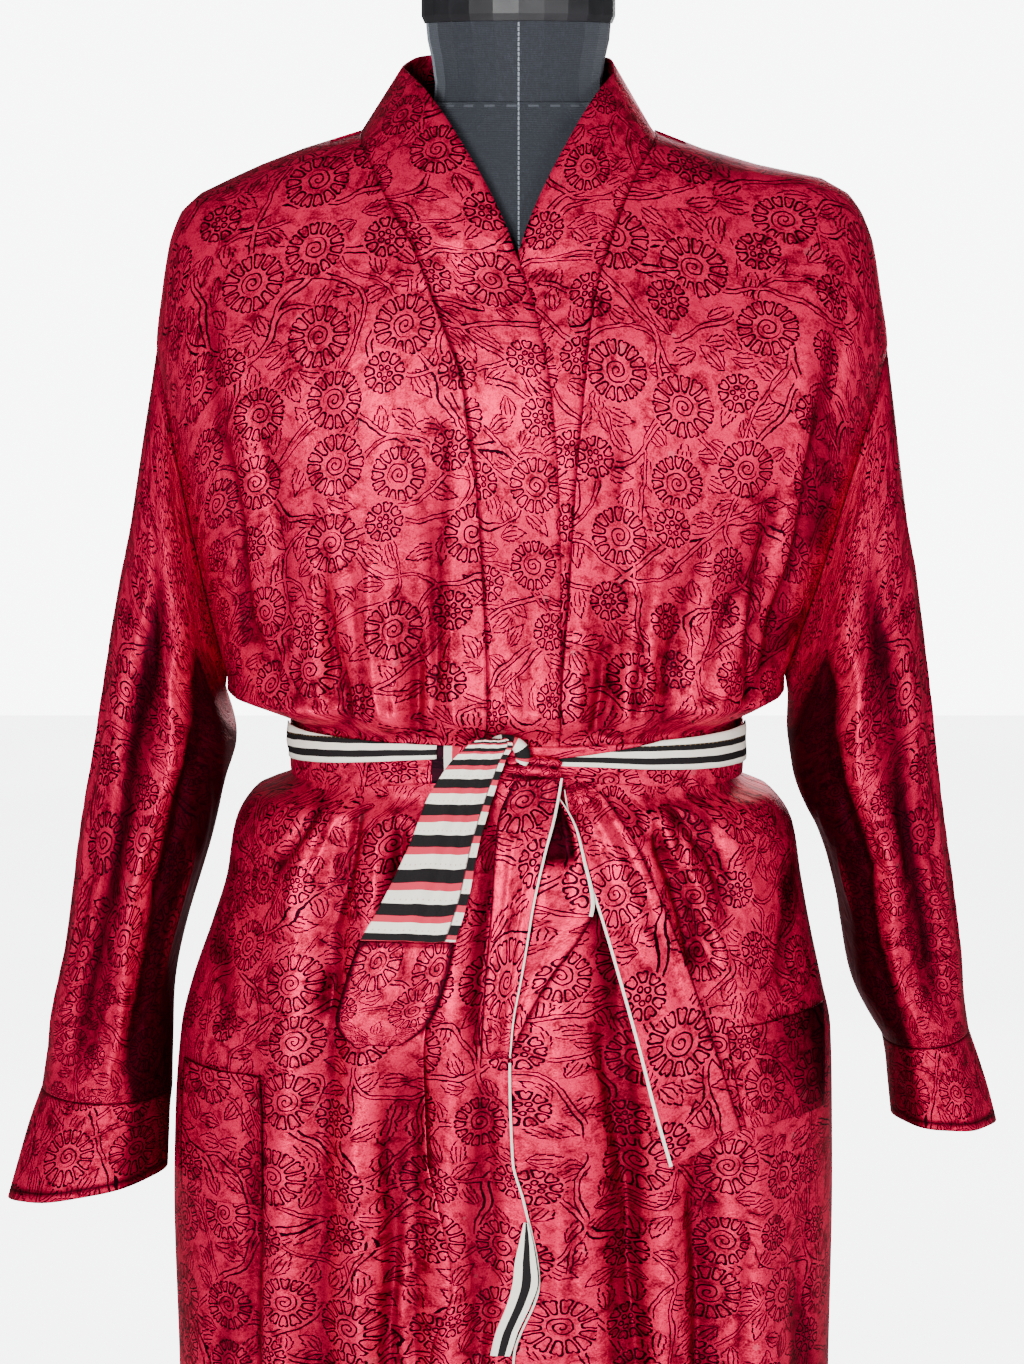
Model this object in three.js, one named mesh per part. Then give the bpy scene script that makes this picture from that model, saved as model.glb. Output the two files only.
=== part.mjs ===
// Wrapped kimono robe on a limbless dress form with a round stand.
// Millimetres, +Z up, front of the robe towards -Y, floor at Z = 0.
import * as THREE from 'three';

// Driving sizes
const CLOTH = 1.2;            // wall of every cloth piece
const SEAM = 0.3;             // gap between neighbouring pieces
const OVER = 3.7;             // how far the upper front lies outside the under front
const HEM_Z = 242;            // robe hem above the floor
const ARM_TOP_Z = 1264;       // top of the dropped armhole
const ARM_LOW_Z = 1040;       // underarm point
const ARM_HALF_DEPTH = 38;    // half the front-to-back width of the armhole
const SQUARE = 2.4;           // exponent of the body's cross sections
const BELT_LOW_Z = 975;       // belt's lower edge at the sides
const BELT_HIGH_Z = 1009;     // belt's upper edge at the sides
const NECK_POINT_Z = 1409;    // shoulder seam's neck end
const NECK_HALF = { right: 104, left: 93 };       // centre to each neck point
const UNDERARM_HALF = { right: 199, left: 184 };  // centre to each underarm point
const ARM_TOP_HALF = { right: 244, left: 251 };   // centre to the top of each armhole
const WAIST_Z = 993;          // level at which the belt is fitted
const WAIST_HALF = 151;       // half width of the belt's ring
const CHEST_LOW_Z = 1324;     // below here the bands lie flat on the chest
const POLE_R = 16;            // stand pole radius
const BASE_R = 175;           // stand plate radius
const BASE_H = 20;            // stand plate height
const CAP_TOP_Z = 1504;       // top of the form's neck cap
const FORM_LOW_Z = 760;       // underside of the form's torso

const sideOf = (sign) => (sign < 0 ? 'right' : 'left');
const clamp01 = (t) => Math.min(1, Math.max(0, t));
const mix = (a, b, t) => a + (b - a) * t;
const ease = (t) => clamp01(t) * clamp01(t) * (3 - 2 * clamp01(t));
const vec = (x, y, z) => new THREE.Vector3(x, y, z);

// A value read from a table of rows whose key column falls or rises steadily, smoothly joined.
function read(rows, key, name, at) {
  const n = rows.length;
  const down = rows[0][key] > rows[n - 1][key];
  const past = (v, w) => (down ? v >= w : v <= w);
  if (past(at, rows[0][key])) return rows[0][name];
  if (!past(at, rows[n - 1][key])) return rows[n - 1][name];
  let i = 0;
  while (i < n - 2 && !past(at, rows[i + 1][key])) i += 1;
  const a = rows[i];
  const b = rows[i + 1];
  const h = b[key] - a[key];
  const slope = (k) => {
    if (k <= 0 || k >= n - 1) return 0;
    const l = (rows[k][name] - rows[k - 1][name]) / (rows[k][key] - rows[k - 1][key]);
    const r = (rows[k + 1][name] - rows[k][name]) / (rows[k + 1][key] - rows[k][key]);
    return l * r <= 0 ? 0 : (2 * l * r) / (l + r);
  };
  const t = (at - a[key]) / h;
  const s2 = t * t;
  const s3 = s2 * t;
  return a[name] * (2 * s3 - 3 * s2 + 1) + b[name] * (3 * s2 - 2 * s3)
    + h * (slope(i) * (s3 - 2 * s2 + t) + slope(i + 1) * (s3 - s2));
}
const table = (names, rows) => rows.map((r) => Object.fromEntries(names.map((n, i) => [n, r[i]])));

// Shoulder line and body silhouette: half widths to wearer's right (-X) and left (+X),
// depth of the front and back at the centre.
const BODY = table(['z', 'right', 'left', 'front', 'back'], [
  [1409, 104, 93, 74, 77],
  [1397, 143, 124, 79, 83],
  [1386, 172, 162, 84, 88],
  [1377, 192, 205, 88, 92],
  [1367, 213, 223, 92, 96],
  [1355, 226, 232, 97, 100],
  [1335, 234, 240, 105, 104],
  [1300, 240, 246, 118, 109],
  [1264, 244, 251, 128, 112],
  [1220, 236, 238, 133, 112],
  [1180, 229, 227, 132, 111],
  [1120, 216, 209, 126, 106],
  [1075, 207, 195, 121, 101],
  [1040, 199, 184, 121, 98],
  [1030, 199, 184, 123, 98],
  [1021, 178, 170, 120, 95],
  [1014, 157, 156, 113, 90],
  [1010, 151, 150, 111, 88],
  [974, 151, 150, 111, 88],
  [967, 160, 155, 114, 92],
  [958, 182, 176, 119, 100],
  [936, 195, 191, 125, 112],
  [900, 201, 197, 130, 124],
  [868, 211, 203, 132, 132],
  [822, 227, 213, 134, 138],
  [793, 234, 219, 134, 140],
  [735, 239, 221, 133, 139],
  [662, 241, 222, 132, 136],
  [541, 239, 221, 132, 134],
  [400, 239, 223, 134, 134],
  [HEM_Z, 242, 227, 137, 138],
]);

// Long soft folds: top and bottom place, half width across, height (+ ridge, - trough).
const FOLDS = table(['side', 'x1', 'z1', 'x2', 'z2', 'wide', 'high'], [
  ['front', -122, 1120, -118, 1008, 13, -6], ['front', -96, 1150, -88, 1008, 12, 5],
  ['front', -70, 1130, -66, 1008, 11, -6], ['front', 62, 1135, 54, 1008, 12, -6],
  ['front', 84, 1170, 76, 1008, 12, 5], ['front', 116, 1150, 100, 1008, 13, -6],
  ['front', 142, 1110, 128, 1008, 11, 4], ['front', -150, 1105, -140, 1008, 11, 4],
  ['front', -72, 982, -84, 860, 12, -7], ['front', -92, 980, -112, 700, 16, 6],
  ['front', -118, 982, -138, 560, 17, -8], ['front', -146, 960, -172, 420, 17, 6],
  ['front', -70, 830, -82, HEM_Z, 15, -11], ['front', -106, 780, -112, HEM_Z, 16, 8],
  ['front', -40, 900, -50, HEM_Z, 16, 6], ['front', 30, 880, 40, HEM_Z, 17, 6],
  ['front', 66, 950, 84, HEM_Z, 15, -10], ['front', 96, 940, 112, HEM_Z, 15, 7],
  ['front', 104, 975, 128, 860, 12, -7], ['front', 122, 760, 146, HEM_Z, 16, -9],
  ['front', 150, 900, 176, HEM_Z, 16, 6], ['front', -176, 820, -196, HEM_Z, 14, -6],
  ['back', -120, 1110, -112, 1008, 13, -6], ['back', -84, 1130, -78, 1008, 13, 5],
  ['back', -46, 1140, -42, 1008, 13, -6], ['back', 0, 1120, 0, 1008, 14, 5],
  ['back', 44, 1135, 40, 1008, 13, -6], ['back', 88, 1125, 80, 1008, 13, 5],
  ['back', 124, 1105, 114, 1008, 13, -6], ['back', -108, 980, -150, HEM_Z, 18, -9],
  ['back', -66, 980, -92, HEM_Z, 18, 7], ['back', -24, 976, -36, HEM_Z, 17, -9],
  ['back', 18, 980, 26, HEM_Z, 18, 7], ['back', 60, 978, 84, HEM_Z, 17, -9],
  ['back', 104, 980, 146, HEM_Z, 18, 7],
]);
const FOLD_FADE = 70;

function foldHeight(side, x, z) {
  let sum = 0;
  for (const f of FOLDS) {
    if (f.side !== side || z > f.z1 || z < f.z2 - 1) continue;
    const t = clamp01((f.z1 - z) / (f.z1 - f.z2));
    const u = (x - mix(f.x1, f.x2, t)) / f.wide;
    if (Math.abs(u) > 2.6) continue;
    const into = ease((f.z1 - z) / FOLD_FADE);
    const out = f.z2 <= HEM_Z ? 1 : ease((z - f.z2 + 16) / FOLD_FADE * 2);
    sum += f.high * into * out * Math.exp(-u * u);
  }
  const pinch = 1 - 0.86 * Math.exp(-(((z - WAIST_Z) / 19) ** 4));
  return sum * pinch;
}

const halfWidth = (x, z) => read(BODY, 'z', sideOf(x), z);
const seamFrac = (z) => {
  const mid = (ARM_TOP_Z + ARM_LOW_Z) / 2;
  const u = (z - mid) / ((ARM_TOP_Z - ARM_LOW_Z) / 2);
  return Math.abs(u) < 1 ? Math.sqrt(1 - u * u) * ARM_HALF_DEPTH : 0;
};
const armX = (sign, z) => sign * mix(UNDERARM_HALF[sideOf(sign)], ARM_TOP_HALF[sideOf(sign)],
  clamp01((z - ARM_LOW_Z) / (ARM_TOP_Z - ARM_LOW_Z)));

// Point of the bare body surface, before folds. side is 'front' or 'back'.
function basePoint(side, x, z) {
  const deep = read(BODY, 'z', side, z);
  let half = halfWidth(x, z);
  if (z < ARM_TOP_Z && z > ARM_LOW_Z) {
    const edge = Math.abs(armX(Math.sign(x) || 1, z));
    half = edge / (1 - (seamFrac(z) / deep) ** SQUARE) ** (1 / SQUARE);
  }
  const c = (1 - Math.min(1, Math.abs(x) / half) ** SQUARE) ** (1 / SQUARE);
  return vec(x, (side === 'front' ? -1 : 1) * deep * c, z);
}
function outward(side, x, z) {
  const deep = read(BODY, 'z', side, z);
  const half = halfWidth(x, z) + 2;
  const u = Math.min(0.999, Math.abs(x) / half);
  const nx = Math.sign(x) * u ** (SQUARE - 1) / half;
  const ny = (side === 'front' ? -1 : 1) * (1 - u ** SQUARE) ** ((SQUARE - 1) / SQUARE) / deep;
  return vec(nx, ny, 0).normalize();
}
function skin(side, x, z, lift = 0) {
  const p = basePoint(side, x, z);
  const fade = 1 - ease((Math.abs(x) / halfWidth(x, z) - 0.86) / 0.12);
  const n = outward(side, x, z);
  return p.addScaledVector(n, lift + foldHeight(side, x, z) * fade);
}

// A closed cloth wall from a grid of outer points. Rows run first. opts.loop closes the columns,
// opts.rim(i, j, normal) may turn the normal at an edge.
function wall(grid, opts = {}) {
  const rows = grid.length;
  const cols = grid[0].length;
  const loop = Boolean(opts.loop);
  const at = (i, j) => grid[Math.min(rows - 1, Math.max(0, i))][loop ? (j + cols) % cols
    : Math.min(cols - 1, Math.max(0, j))];
  const flip = opts.flip ? -1 : 1;
  const inner = grid.map((row, i) => row.map((p, j) => {
    const du = at(i + 1, j).clone().sub(at(i - 1, j));
    const dv = at(i, j + 1).clone().sub(at(i, j - 1));
    let n = du.cross(dv).normalize().multiplyScalar(flip);
    if (opts.rim) n = opts.rim(i, j, n);
    return p.clone().addScaledVector(n, -CLOTH);
  }));
  const all = [...grid.flat(), ...inner.flat()];
  const id = (layer, i, j) => layer * rows * cols + i * cols + (loop ? (j + cols) % cols : j);
  const faces = [];
  const quad = (a, b, c, d) => faces.push(flip > 0 ? [a, b, c] : [a, c, b], flip > 0 ? [a, c, d] : [a, d, c]);
  const lastCol = loop ? cols : cols - 1;
  for (let i = 0; i < rows - 1; i += 1) {
    for (let j = 0; j < lastCol; j += 1) {
      quad(id(0, i, j), id(0, i + 1, j), id(0, i + 1, j + 1), id(0, i, j + 1));
      quad(id(1, i, j), id(1, i, j + 1), id(1, i + 1, j + 1), id(1, i + 1, j));
    }
  }
  for (let j = 0; j < lastCol; j += 1) {
    quad(id(0, 0, j), id(0, 0, j + 1), id(1, 0, j + 1), id(1, 0, j));
    quad(id(0, rows - 1, j + 1), id(0, rows - 1, j), id(1, rows - 1, j), id(1, rows - 1, j + 1));
  }
  if (!loop) {
    for (let i = 0; i < rows - 1; i += 1) {
      quad(id(0, i + 1, 0), id(0, i, 0), id(1, i, 0), id(1, i + 1, 0));
      quad(id(0, i, cols - 1), id(0, i + 1, cols - 1), id(1, i + 1, cols - 1), id(1, i, cols - 1));
    }
  }
  const g = new THREE.BufferGeometry();
  g.setAttribute('position', new THREE.Float32BufferAttribute(all.flatMap((p) => [p.x, p.y, p.z]), 3));
  g.setIndex(faces.flat());
  g.computeVertexNormals();
  return g;
}

// A closed solid through rings of equal count, capped at both ends.
function lofted(rings) {
  const n = rings[0].length;
  const pts = rings.flat();
  const faces = [];
  for (let i = 0; i < rings.length - 1; i += 1) {
    for (let j = 0; j < n; j += 1) {
      const k = (j + 1) % n;
      faces.push([i * n + j, i * n + k, (i + 1) * n + k], [i * n + j, (i + 1) * n + k, (i + 1) * n + j]);
    }
  }
  const ends = [[0, 1], [rings.length - 1, 0]];
  for (const [r, turn] of ends) {
    const mid = rings[r].reduce((s, p) => s.clone().add(p), vec(0, 0, 0)).multiplyScalar(1 / n);
    const c = pts.push(mid) - 1;
    for (let j = 0; j < n; j += 1) {
      const k = (j + 1) % n;
      faces.push(turn ? [c, r * n + k, r * n + j] : [c, r * n + j, r * n + k]);
    }
  }
  const g = new THREE.BufferGeometry();
  g.setAttribute('position', new THREE.Float32BufferAttribute(pts.flatMap((p) => [p.x, p.y, p.z]), 3));
  g.setIndex(faces.flat());
  g.computeVertexNormals();
  return g;
}

// Rows of the body grid: the shoulder part (share of the way from the ridge to the underarm level)
// and the heights below it.
const SHOULDER_ROWS = [0, 0.012, 0.045, 0.1, 0.17, 0.26, 0.36, 0.47, 0.58, 0.7, 0.81, 0.91, 1];
const LOWER_Z = [1030, 1021, 1014, 1010, 974, 967, 958, 940, 915, 880, 840, 794, 750, 703, 675, 647, 620,
  595, 520, 430, 335, HEM_Z];

// Ridge of the shoulder: share 0 at the centre back neck, 1 at the top of the armhole.
function ridge(sign, s) {
  const inner = NECK_HALF[sideOf(sign)];
  const list = [[0, NECK_POINT_Z + 19], [inner, NECK_POINT_Z]];
  for (const r of BODY) {
    if (r.z < NECK_POINT_Z && r.z >= ARM_TOP_Z) list.push([r[sideOf(sign)], r.z]);
  }
  const len = [0];
  for (let i = 1; i < list.length; i += 1) {
    len.push(len[i - 1] + Math.hypot(list[i][0] - list[i - 1][0], list[i][1] - list[i - 1][1]));
  }
  const want = s * len[len.length - 1];
  let i = 1;
  while (i < list.length - 1 && len[i] < want) i += 1;
  const t = (want - len[i - 1]) / (len[i] - len[i - 1]);
  return [sign * mix(list[i - 1][0], list[i][0], t), mix(list[i - 1][1], list[i][1], t)];
}
const around = (s) => Math.sin(s * Math.PI / 2) ** (2 / SQUARE);

// x and z of the body grid for signed share s (-1 wearer's right side, 1 left) and row number.
function gridXZ(s, row) {
  const sign = s < 0 ? -1 : 1;
  const a = Math.abs(s);
  if (row < SHOULDER_ROWS.length) {
    const v = SHOULDER_ROWS[row];
    const [rx, rz] = ridge(sign, a);
    const ax = sign * UNDERARM_HALF[sideOf(sign)] * mix(a, around(a), v);
    const z = mix(rz, ARM_LOW_Z, v);
    if (a > 0.9999) return [armX(sign, z), z];
    return [mix(rx, ax, v), z];
  }
  const z = LOWER_Z[row - SHOULDER_ROWS.length];
  return [sign * halfWidth(sign, z) * around(a), z];
}
const ROWS = SHOULDER_ROWS.length + LOWER_Z.length;

// Band seam and free edge of each front, read by height. Wearer's right front lies over the left.
const EDGES = table(['z', 'rightSeam', 'rightFree', 'leftSeam', 'leftFree'], [
  [1409, -104, -77, 93, 64],
  [1380, -92.5, -30, 78, 26],
  [1354, -79, -16, 67, 10],
  [1331, -66, -2.7, 59, -2.7],
  [1318, -61, 4, 54, -5],
  [1288, -49.6, 13, 48, -9],
  [1250, -36, 20.5, 44, -12],
  [1217, -31.6, 24, 41, -15],
  [1176, -26, 26.5, 37.5, -18],
  [1117, -22.5, 28, 34.5, -22],
  [1040, -19.7, 28.2, 29, -28],
  [1000, -22, 27, 27, -30],
  [940, -38, 18, 6, -46],
  [860, -55, 4, -10, -62],
  [794, -62, -4, -12, -64],
  [731, -60, -2, -12, -64],
  [703, -53, 5.4, -12, -64],
  [647, -43, 15.5, -12, -64],
  [595, -58, -1.3, -12, -64],
  [500, -62, -4, -13, -65],
  [HEM_Z, -60, -2, -13, -65],
]);

// Signed share of the band seam on a row, found by halving.
const HALVING_END = 1e-6;
function seamShare(name, row) {
  const sign = name === 'rightSeam' ? -1 : 1;
  if (row === 0) {
    const list = [0, 1];
    while (list[1] - list[0] > HALVING_END) {
      const m = (list[0] + list[1]) / 2;
      const [x] = ridge(sign, m);
      list[Math.abs(x) < NECK_HALF[sideOf(sign)] ? 0 : 1] = m;
    }
    return sign * list[1];
  }
  let lo = -0.95;
  let hi = 0.95;
  while (hi - lo > HALVING_END) {
    const m = (lo + hi) / 2;
    const [x, z] = gridXZ(m, row);
    if (x < read(EDGES, 'z', name, z)) lo = m;
    else hi = m;
  }
  return (lo + hi) / 2;
}

const RING_N = 24;
const armU = (sign) => vec(sign * (ARM_TOP_HALF[sideOf(sign)] - UNDERARM_HALF[sideOf(sign)]), 0,
  ARM_TOP_Z - ARM_LOW_Z).normalize();
function armNormal(sign, z, side) {
  const c = clamp01((z - ARM_LOW_Z) / (ARM_TOP_Z - ARM_LOW_Z)) * 2 - 1;
  const sn = Math.sqrt(Math.max(0, 1 - c * c));
  const half = (ARM_TOP_Z - ARM_LOW_Z) / 2;
  const n = armU(sign).multiplyScalar(Math.max(c, 0) / half);
  n.y += (side === 'front' ? -1 : 1) * sn / ARM_HALF_DEPTH;
  n.x += sign * 0.6 * Math.max(-c, 0) / half + 1e-4 * sign;
  return n.normalize();
}

// Edge normals of a body panel, so that neighbouring walls stand side by side.
function panelRim(side, grid, outerCols) {
  const last = grid[0].length - 1;
  return (i, j, n) => {
    let m = n.clone();
    const open = (j === 0 && !outerCols.includes(0)) || (j === last && !outerCols.includes(1));
    if (open && i > 0) m = outward('front', grid[i][j].x, grid[i][j].z);
    if (i === 0) m.y *= 0.05;
    if ((j === 0 && outerCols.includes(0)) || (j === last && outerCols.includes(1))) {
      const sign = grid[i][j].x < 0 ? -1 : 1;
      if (i > 0 && i < SHOULDER_ROWS.length - 1) m = armNormal(sign, grid[i][j].z, side);
      else if (i > 0) m = vec(sign, 0, 0);
      else m = armU(sign);
    }
    return m.normalize();
  };
}

const upperLift = (x) => mix(0, OVER, ease((x + 190) / 110));

// Front panel between the side seam and its band seam.
function frontPanel(isRight, cols) {
  const name = isRight ? 'rightSeam' : 'leftSeam';
  const grid = [];
  for (let i = 0; i < ROWS; i += 1) {
    const seam = seamShare(name, i);
    const line = [];
    for (let j = 0; j <= cols; j += 1) {
      const s = isRight ? mix(-1, seam, j / cols) : mix(seam, 1, j / cols);
      const [x, z] = gridXZ(s, i);
      const side = isRight ? j === 0 : j === cols;
      const lift = isRight && !side ? upperLift(x) * ease((NECK_POINT_Z - z) / 60) : 0;
      const p = skin('front', x, z, lift);
      if (i === 0) p.y = -SEAM / 2;
      if (i === 0) p.z = z;
      if (side) p.set(x, i >= SHOULDER_ROWS.length - 1 ? -SEAM / 2 : -Math.max(SEAM / 2, seamFrac(z)), z);
      if (i > 0 && !side) p.y = Math.min(p.y, -SEAM / 2 - 0.4);
      line.push(p);
    }
    grid.push(line);
  }
  return wall(grid, { rim: panelRim('front', grid, [isRight ? 0 : 1]) });
}

function backPanel(cols) {
  const grid = [];
  for (let i = 0; i < ROWS; i += 1) {
    const line = [];
    for (let j = 0; j <= cols; j += 1) {
      const s = mix(1, -1, j / cols);
      let [x, z] = gridXZ(s, i);
      const inner = NECK_HALF[sideOf(x)];
      if (Math.abs(x) < inner && i < SHOULDER_ROWS.length) z = mix(neckline(x), ARM_LOW_Z, SHOULDER_ROWS[i]);
      const side = j === 0 || j === cols;
      const p = skin('back', x, z, 0);
      if (i === 0 && Math.abs(x) >= inner) p.set(x, SEAM / 2, z);
      if (side) p.set(x, i >= SHOULDER_ROWS.length - 1 ? SEAM / 2 : Math.max(SEAM / 2, seamFrac(z)), z);
      if (i > 0 && !side) p.y = Math.max(p.y, SEAM / 2 + 0.4);
      line.push(p);
    }
    grid.push(line);
  }
  return wall(grid, { rim: panelRim('back', grid, [0, 1]) });
}

// Sleeves: outer line, inner line and half depth of each ring, measured from the centre plane.
const SLEEVES = {
  right: table(['ox', 'oz', 'ix', 'iz', 'deep'], [
    [ARM_TOP_HALF.right, ARM_TOP_Z, UNDERARM_HALF.right, ARM_LOW_Z, ARM_HALF_DEPTH],
    [251, 1222, 201, 1025, 52],
    [258, 1179, 199, 1012, 62], [266, 1134, 195, 1000, 68], [274, 1090, 194.5, 990, 72],
    [283, 1034, 197, 979, 74], [292, 978, 202, 964, 74], [302, 920, 214, 918, 70],
    [312, 850, 230, 866, 64], [322, 806, 238, 826, 58], [328, 776, 240.5, 786, 54],
    [333, 748, 242, 746, 52],
  ]),
  left: table(['ox', 'oz', 'ix', 'iz', 'deep'], [
    [ARM_TOP_HALF.left, ARM_TOP_Z, UNDERARM_HALF.left, ARM_LOW_Z, ARM_HALF_DEPTH],
    [257, 1222, 187, 1025, 52],
    [262, 1180, 187, 1010, 62], [268, 1134, 187, 996, 68], [274, 1096, 189, 982, 72],
    [282, 1034, 193, 966, 74], [288, 982, 200, 946, 73], [294, 932, 212, 922, 69],
    [300, 890, 221, 892, 64], [306, 856, 227, 860, 59], [311, 822, 236, 820, 55],
    [316, 790, 256, 783, 51],
  ]),
};
const CUFFS = {
  right: table(['ox', 'oz', 'ix', 'iz', 'deep'], [
    [333, 748 - SEAM, 242, 746 - SEAM, 52], [341, 722, 243, 727, 52], [349, 695, 244, 709, 51],
    [357, 668, 245, 690, 51],
  ]),
  left: table(['ox', 'oz', 'ix', 'iz', 'deep'], [
    [316, 790 - SEAM, 256, 783 - SEAM, 51], [322, 768, 258, 765, 51], [329, 746, 260, 747, 50],
    [335, 724, 262, 729, 50],
  ]),
};
const SLEEVE_FOLDS = table(['angle', 'wide', 'high', 'from', 'to'], [
  [38, 15, 4, 1, 11], [66, 15, -6, 2, 11], [100, 16, 4, 2, 9], [132, 16, -5, 2, 8],
  [215, 17, 4, 2, 11], [248, 16, -6, 2, 10], [290, 17, 4, 2, 11], [322, 15, -4, 3, 11],
]);

function sleeveRing(sign, r, fold, shift) {
  const ring = [];
  const u = vec(sign * (r.ox - r.ix), 0, r.oz - r.iz);
  const half = u.length() / 2;
  u.normalize();
  for (let k = 0; k < RING_N; k += 1) {
    const a = (k / RING_N) * 2 * Math.PI;
    const p = vec(sign * (r.ox + r.ix) / 2 + shift * sign, 0, (r.oz + r.iz) / 2);
    const n = u.clone().multiplyScalar(Math.cos(a) / half);
    n.y = -Math.sin(a) / r.deep;
    n.normalize();
    p.addScaledVector(u, half * Math.cos(a));
    p.y -= r.deep * Math.sin(a);
    p.addScaledVector(n, fold((a * 180) / Math.PI));
    ring.push(p);
  }
  return ring;
}
function ringRim(grid) {
  return (i, j) => {
    const ring = grid[i];
    const mid = ring.reduce((s, p) => s.add(p), vec(0, 0, 0)).multiplyScalar(1 / ring.length);
    const prev = ring[(j + ring.length - 1) % ring.length];
    const next = ring[(j + 1) % ring.length];
    const along = next.clone().sub(prev);
    const flat = ring[0].clone().sub(mid).cross(ring[6].clone().sub(mid)).normalize();
    const out = along.cross(flat).normalize();
    return out.dot(ring[j].clone().sub(mid)) < 0 ? out.negate() : out;
  };
}
function sleeve(side) {
  const sign = side === 'right' ? -1 : 1;
  const rows = SLEEVES[side];
  const grid = [];
  const steps = rows.length - 1;
  for (let i = 0; i <= steps; i += 1) {
    const r = rows[i];
    const fold = (deg) => SLEEVE_FOLDS.reduce((sum, f) => {
      const u = (deg - f.angle) / f.wide;
      return sum + f.high * Math.exp(-u * u) * ease((i - f.from + 1) / 3) * ease((f.to - i) / 2);
    }, 0);
    grid.push(sleeveRing(sign, r, fold, i === 0 ? SEAM : 0));
  }
  return wall(grid, { loop: true, flip: sign > 0, rim: (i, j, n) => (i === 0 || i === steps
    ? ringRim(grid)(i, j) : n) });
}
function cuff(side) {
  const sign = side === 'right' ? -1 : 1;
  const grid = CUFFS[side].map((r) => sleeveRing(sign, r, () => 0, 0));
  return wall(grid, { loop: true, flip: sign > 0, rim: (i, j, n) => (i === 0 ? ringRim(grid)(i, j) : n) });
}

// Neck part of the band: seam edge and free edge in space, from the right front round the back.
const COLLAR = table(['sx', 'fx', 'fy', 'fz'], [
  [-104, -77, 0, 1451], [-99, -74, 16, 1454], [-86, -67, 36, 1458], [-66, -54, 52, 1460],
  [-36, -32, 63, 1461], [-5, -5, 67, 1462], [26, 22, 65, 1461],
  [56, 43, 55, 1460], [77, 57, 37, 1458], [88, 62, 17, 1457], [93, 64, 0, 1455],
]);
const neckline = (x) => NECK_POINT_Z - 2 - 4 * (1 - (Math.abs(x) / NECK_HALF[sideOf(x)]) ** 2);
const CHEST = table(['sz', 'fz', 'fx', 'fy'], [
  [1409, 1448, 74, 8], [1400, 1437, 62, 38], [1390, 1422, 50, 62], [1376, 1401, 36, 82],
  [1360, 1376, 21, 95], [1345, 1352, 9, 103], [1331, 1334, 2.7, 108], [CHEST_LOW_Z, CHEST_LOW_Z, 2.7, 111],
]);
const BAND_COLS = 3;
const BAND_STEP = SEAM * 1.7;      // sideways step that leaves the seam gap on slanting stretches

function bandSide(isRight) {
  const list = [];
  const sign = isRight ? -1 : 1;
  const seamName = isRight ? 'rightSeam' : 'leftSeam';
  const freeName = isRight ? 'rightFree' : 'leftFree';
  for (let i = 1; i < ROWS; i += 1) {
    const [seamX, z] = gridXZ(seamShare(seamName, i), i);
    const sx = seamX - sign * BAND_STEP;
    const lift = isRight ? OVER * ease((NECK_POINT_Z - z) / 60) : 0;
    const a = skin('front', sx, z, isRight ? upperLift(seamX) * ease((NECK_POINT_Z - z) / 60) : 0);
    const line = [];
    if (z > CHEST_LOW_Z) {
      const at = (name) => read(CHEST, 'sz', name, z);
      const b = vec(sign * at('fx') * (isRight ? 1 : 0.9), -at('fy') - lift, at('fz'));
      for (let j = 0; j <= BAND_COLS; j += 1) {
        const p = a.clone().lerp(b, j / BAND_COLS);
        p.y -= 5 * Math.sin((Math.PI * j) / BAND_COLS) * ease((1400 - z) / 40);
        line.push(p);
      }
    } else {
      const fx = read(EDGES, 'z', freeName, z);
      for (let j = 0; j <= BAND_COLS; j += 1) {
        line.push(j ? skin('front', mix(sx, fx, j / BAND_COLS), z, lift) : a);
      }
    }
    list.push(line);
  }
  return list;
}
function neckband() {
  const right = bandSide(true).reverse();
  const left = bandSide(false);
  const collar = COLLAR.map((r) => {
    const seam = vec(r.sx, 0, NECK_POINT_Z + SEAM);
    if (Math.abs(r.sx) < NECK_HALF[sideOf(r.sx)]) {
      seam.copy(skin('back', r.sx, neckline(r.sx)));
      seam.z += SEAM;
    }
    const free = vec(r.fx, r.fy, r.fz);
    const line = [];
    for (let j = 0; j <= BAND_COLS; j += 1) line.push(seam.clone().lerp(free, j / BAND_COLS));
    return line;
  });
  const grid = [...right, ...collar, ...left];
  const onChest = (i) => i < right.length || i >= right.length + collar.length;
  return wall(grid, {
    flip: true,
    rim: (i, j, n) => {
      if (j > 0) return n;
      return outward(onChest(i) ? 'front' : 'back', grid[i][0].x, Math.min(grid[i][0].z, NECK_POINT_Z));
    },
  });
}

// A patch laid on a front, from its own rows of height and its two edges in x.
function patch(rows, cols, lift) {
  const grid = rows.map((r) => {
    const line = [];
    for (let j = 0; j <= cols; j += 1) {
      const x = mix(r.x1, r.x2, j / cols);
      line.push(skin('front', x, r.z, lift + (x < 30 ? upperLift(x) + 0.3 : 0)));
    }
    return line;
  });
  return wall(grid);
}
const POCKETS = {
  right: table(['z', 'x1', 'x2'], [[780, -226, -173], [765, -227, -172.5], [745, -228, -172],
    [722, -229, -171.5], [700, -229, -171], [688, -228.5, -172]]),
  left: table(['z', 'x1', 'x2'], [[818, 138, 208], [804, 139.5, 208.5], [788, 142, 209],
    [772, 145, 209], [757, 148, 209], [748, 150, 208]]),
};
const POCKET_LIFT = CLOTH + 1.6;

// Turned-out facing of the upper front's free edge.
const FACING = table(['z', 'x1', 'x2'], [[690, 4.5, 7.5], [676, 1.5, 11], [662, -1.5, 13.5],
  [647, -3, 14.5], [632, -7, 9.5], [614, -14, 1.5], [597, -18, -4]]);

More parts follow.
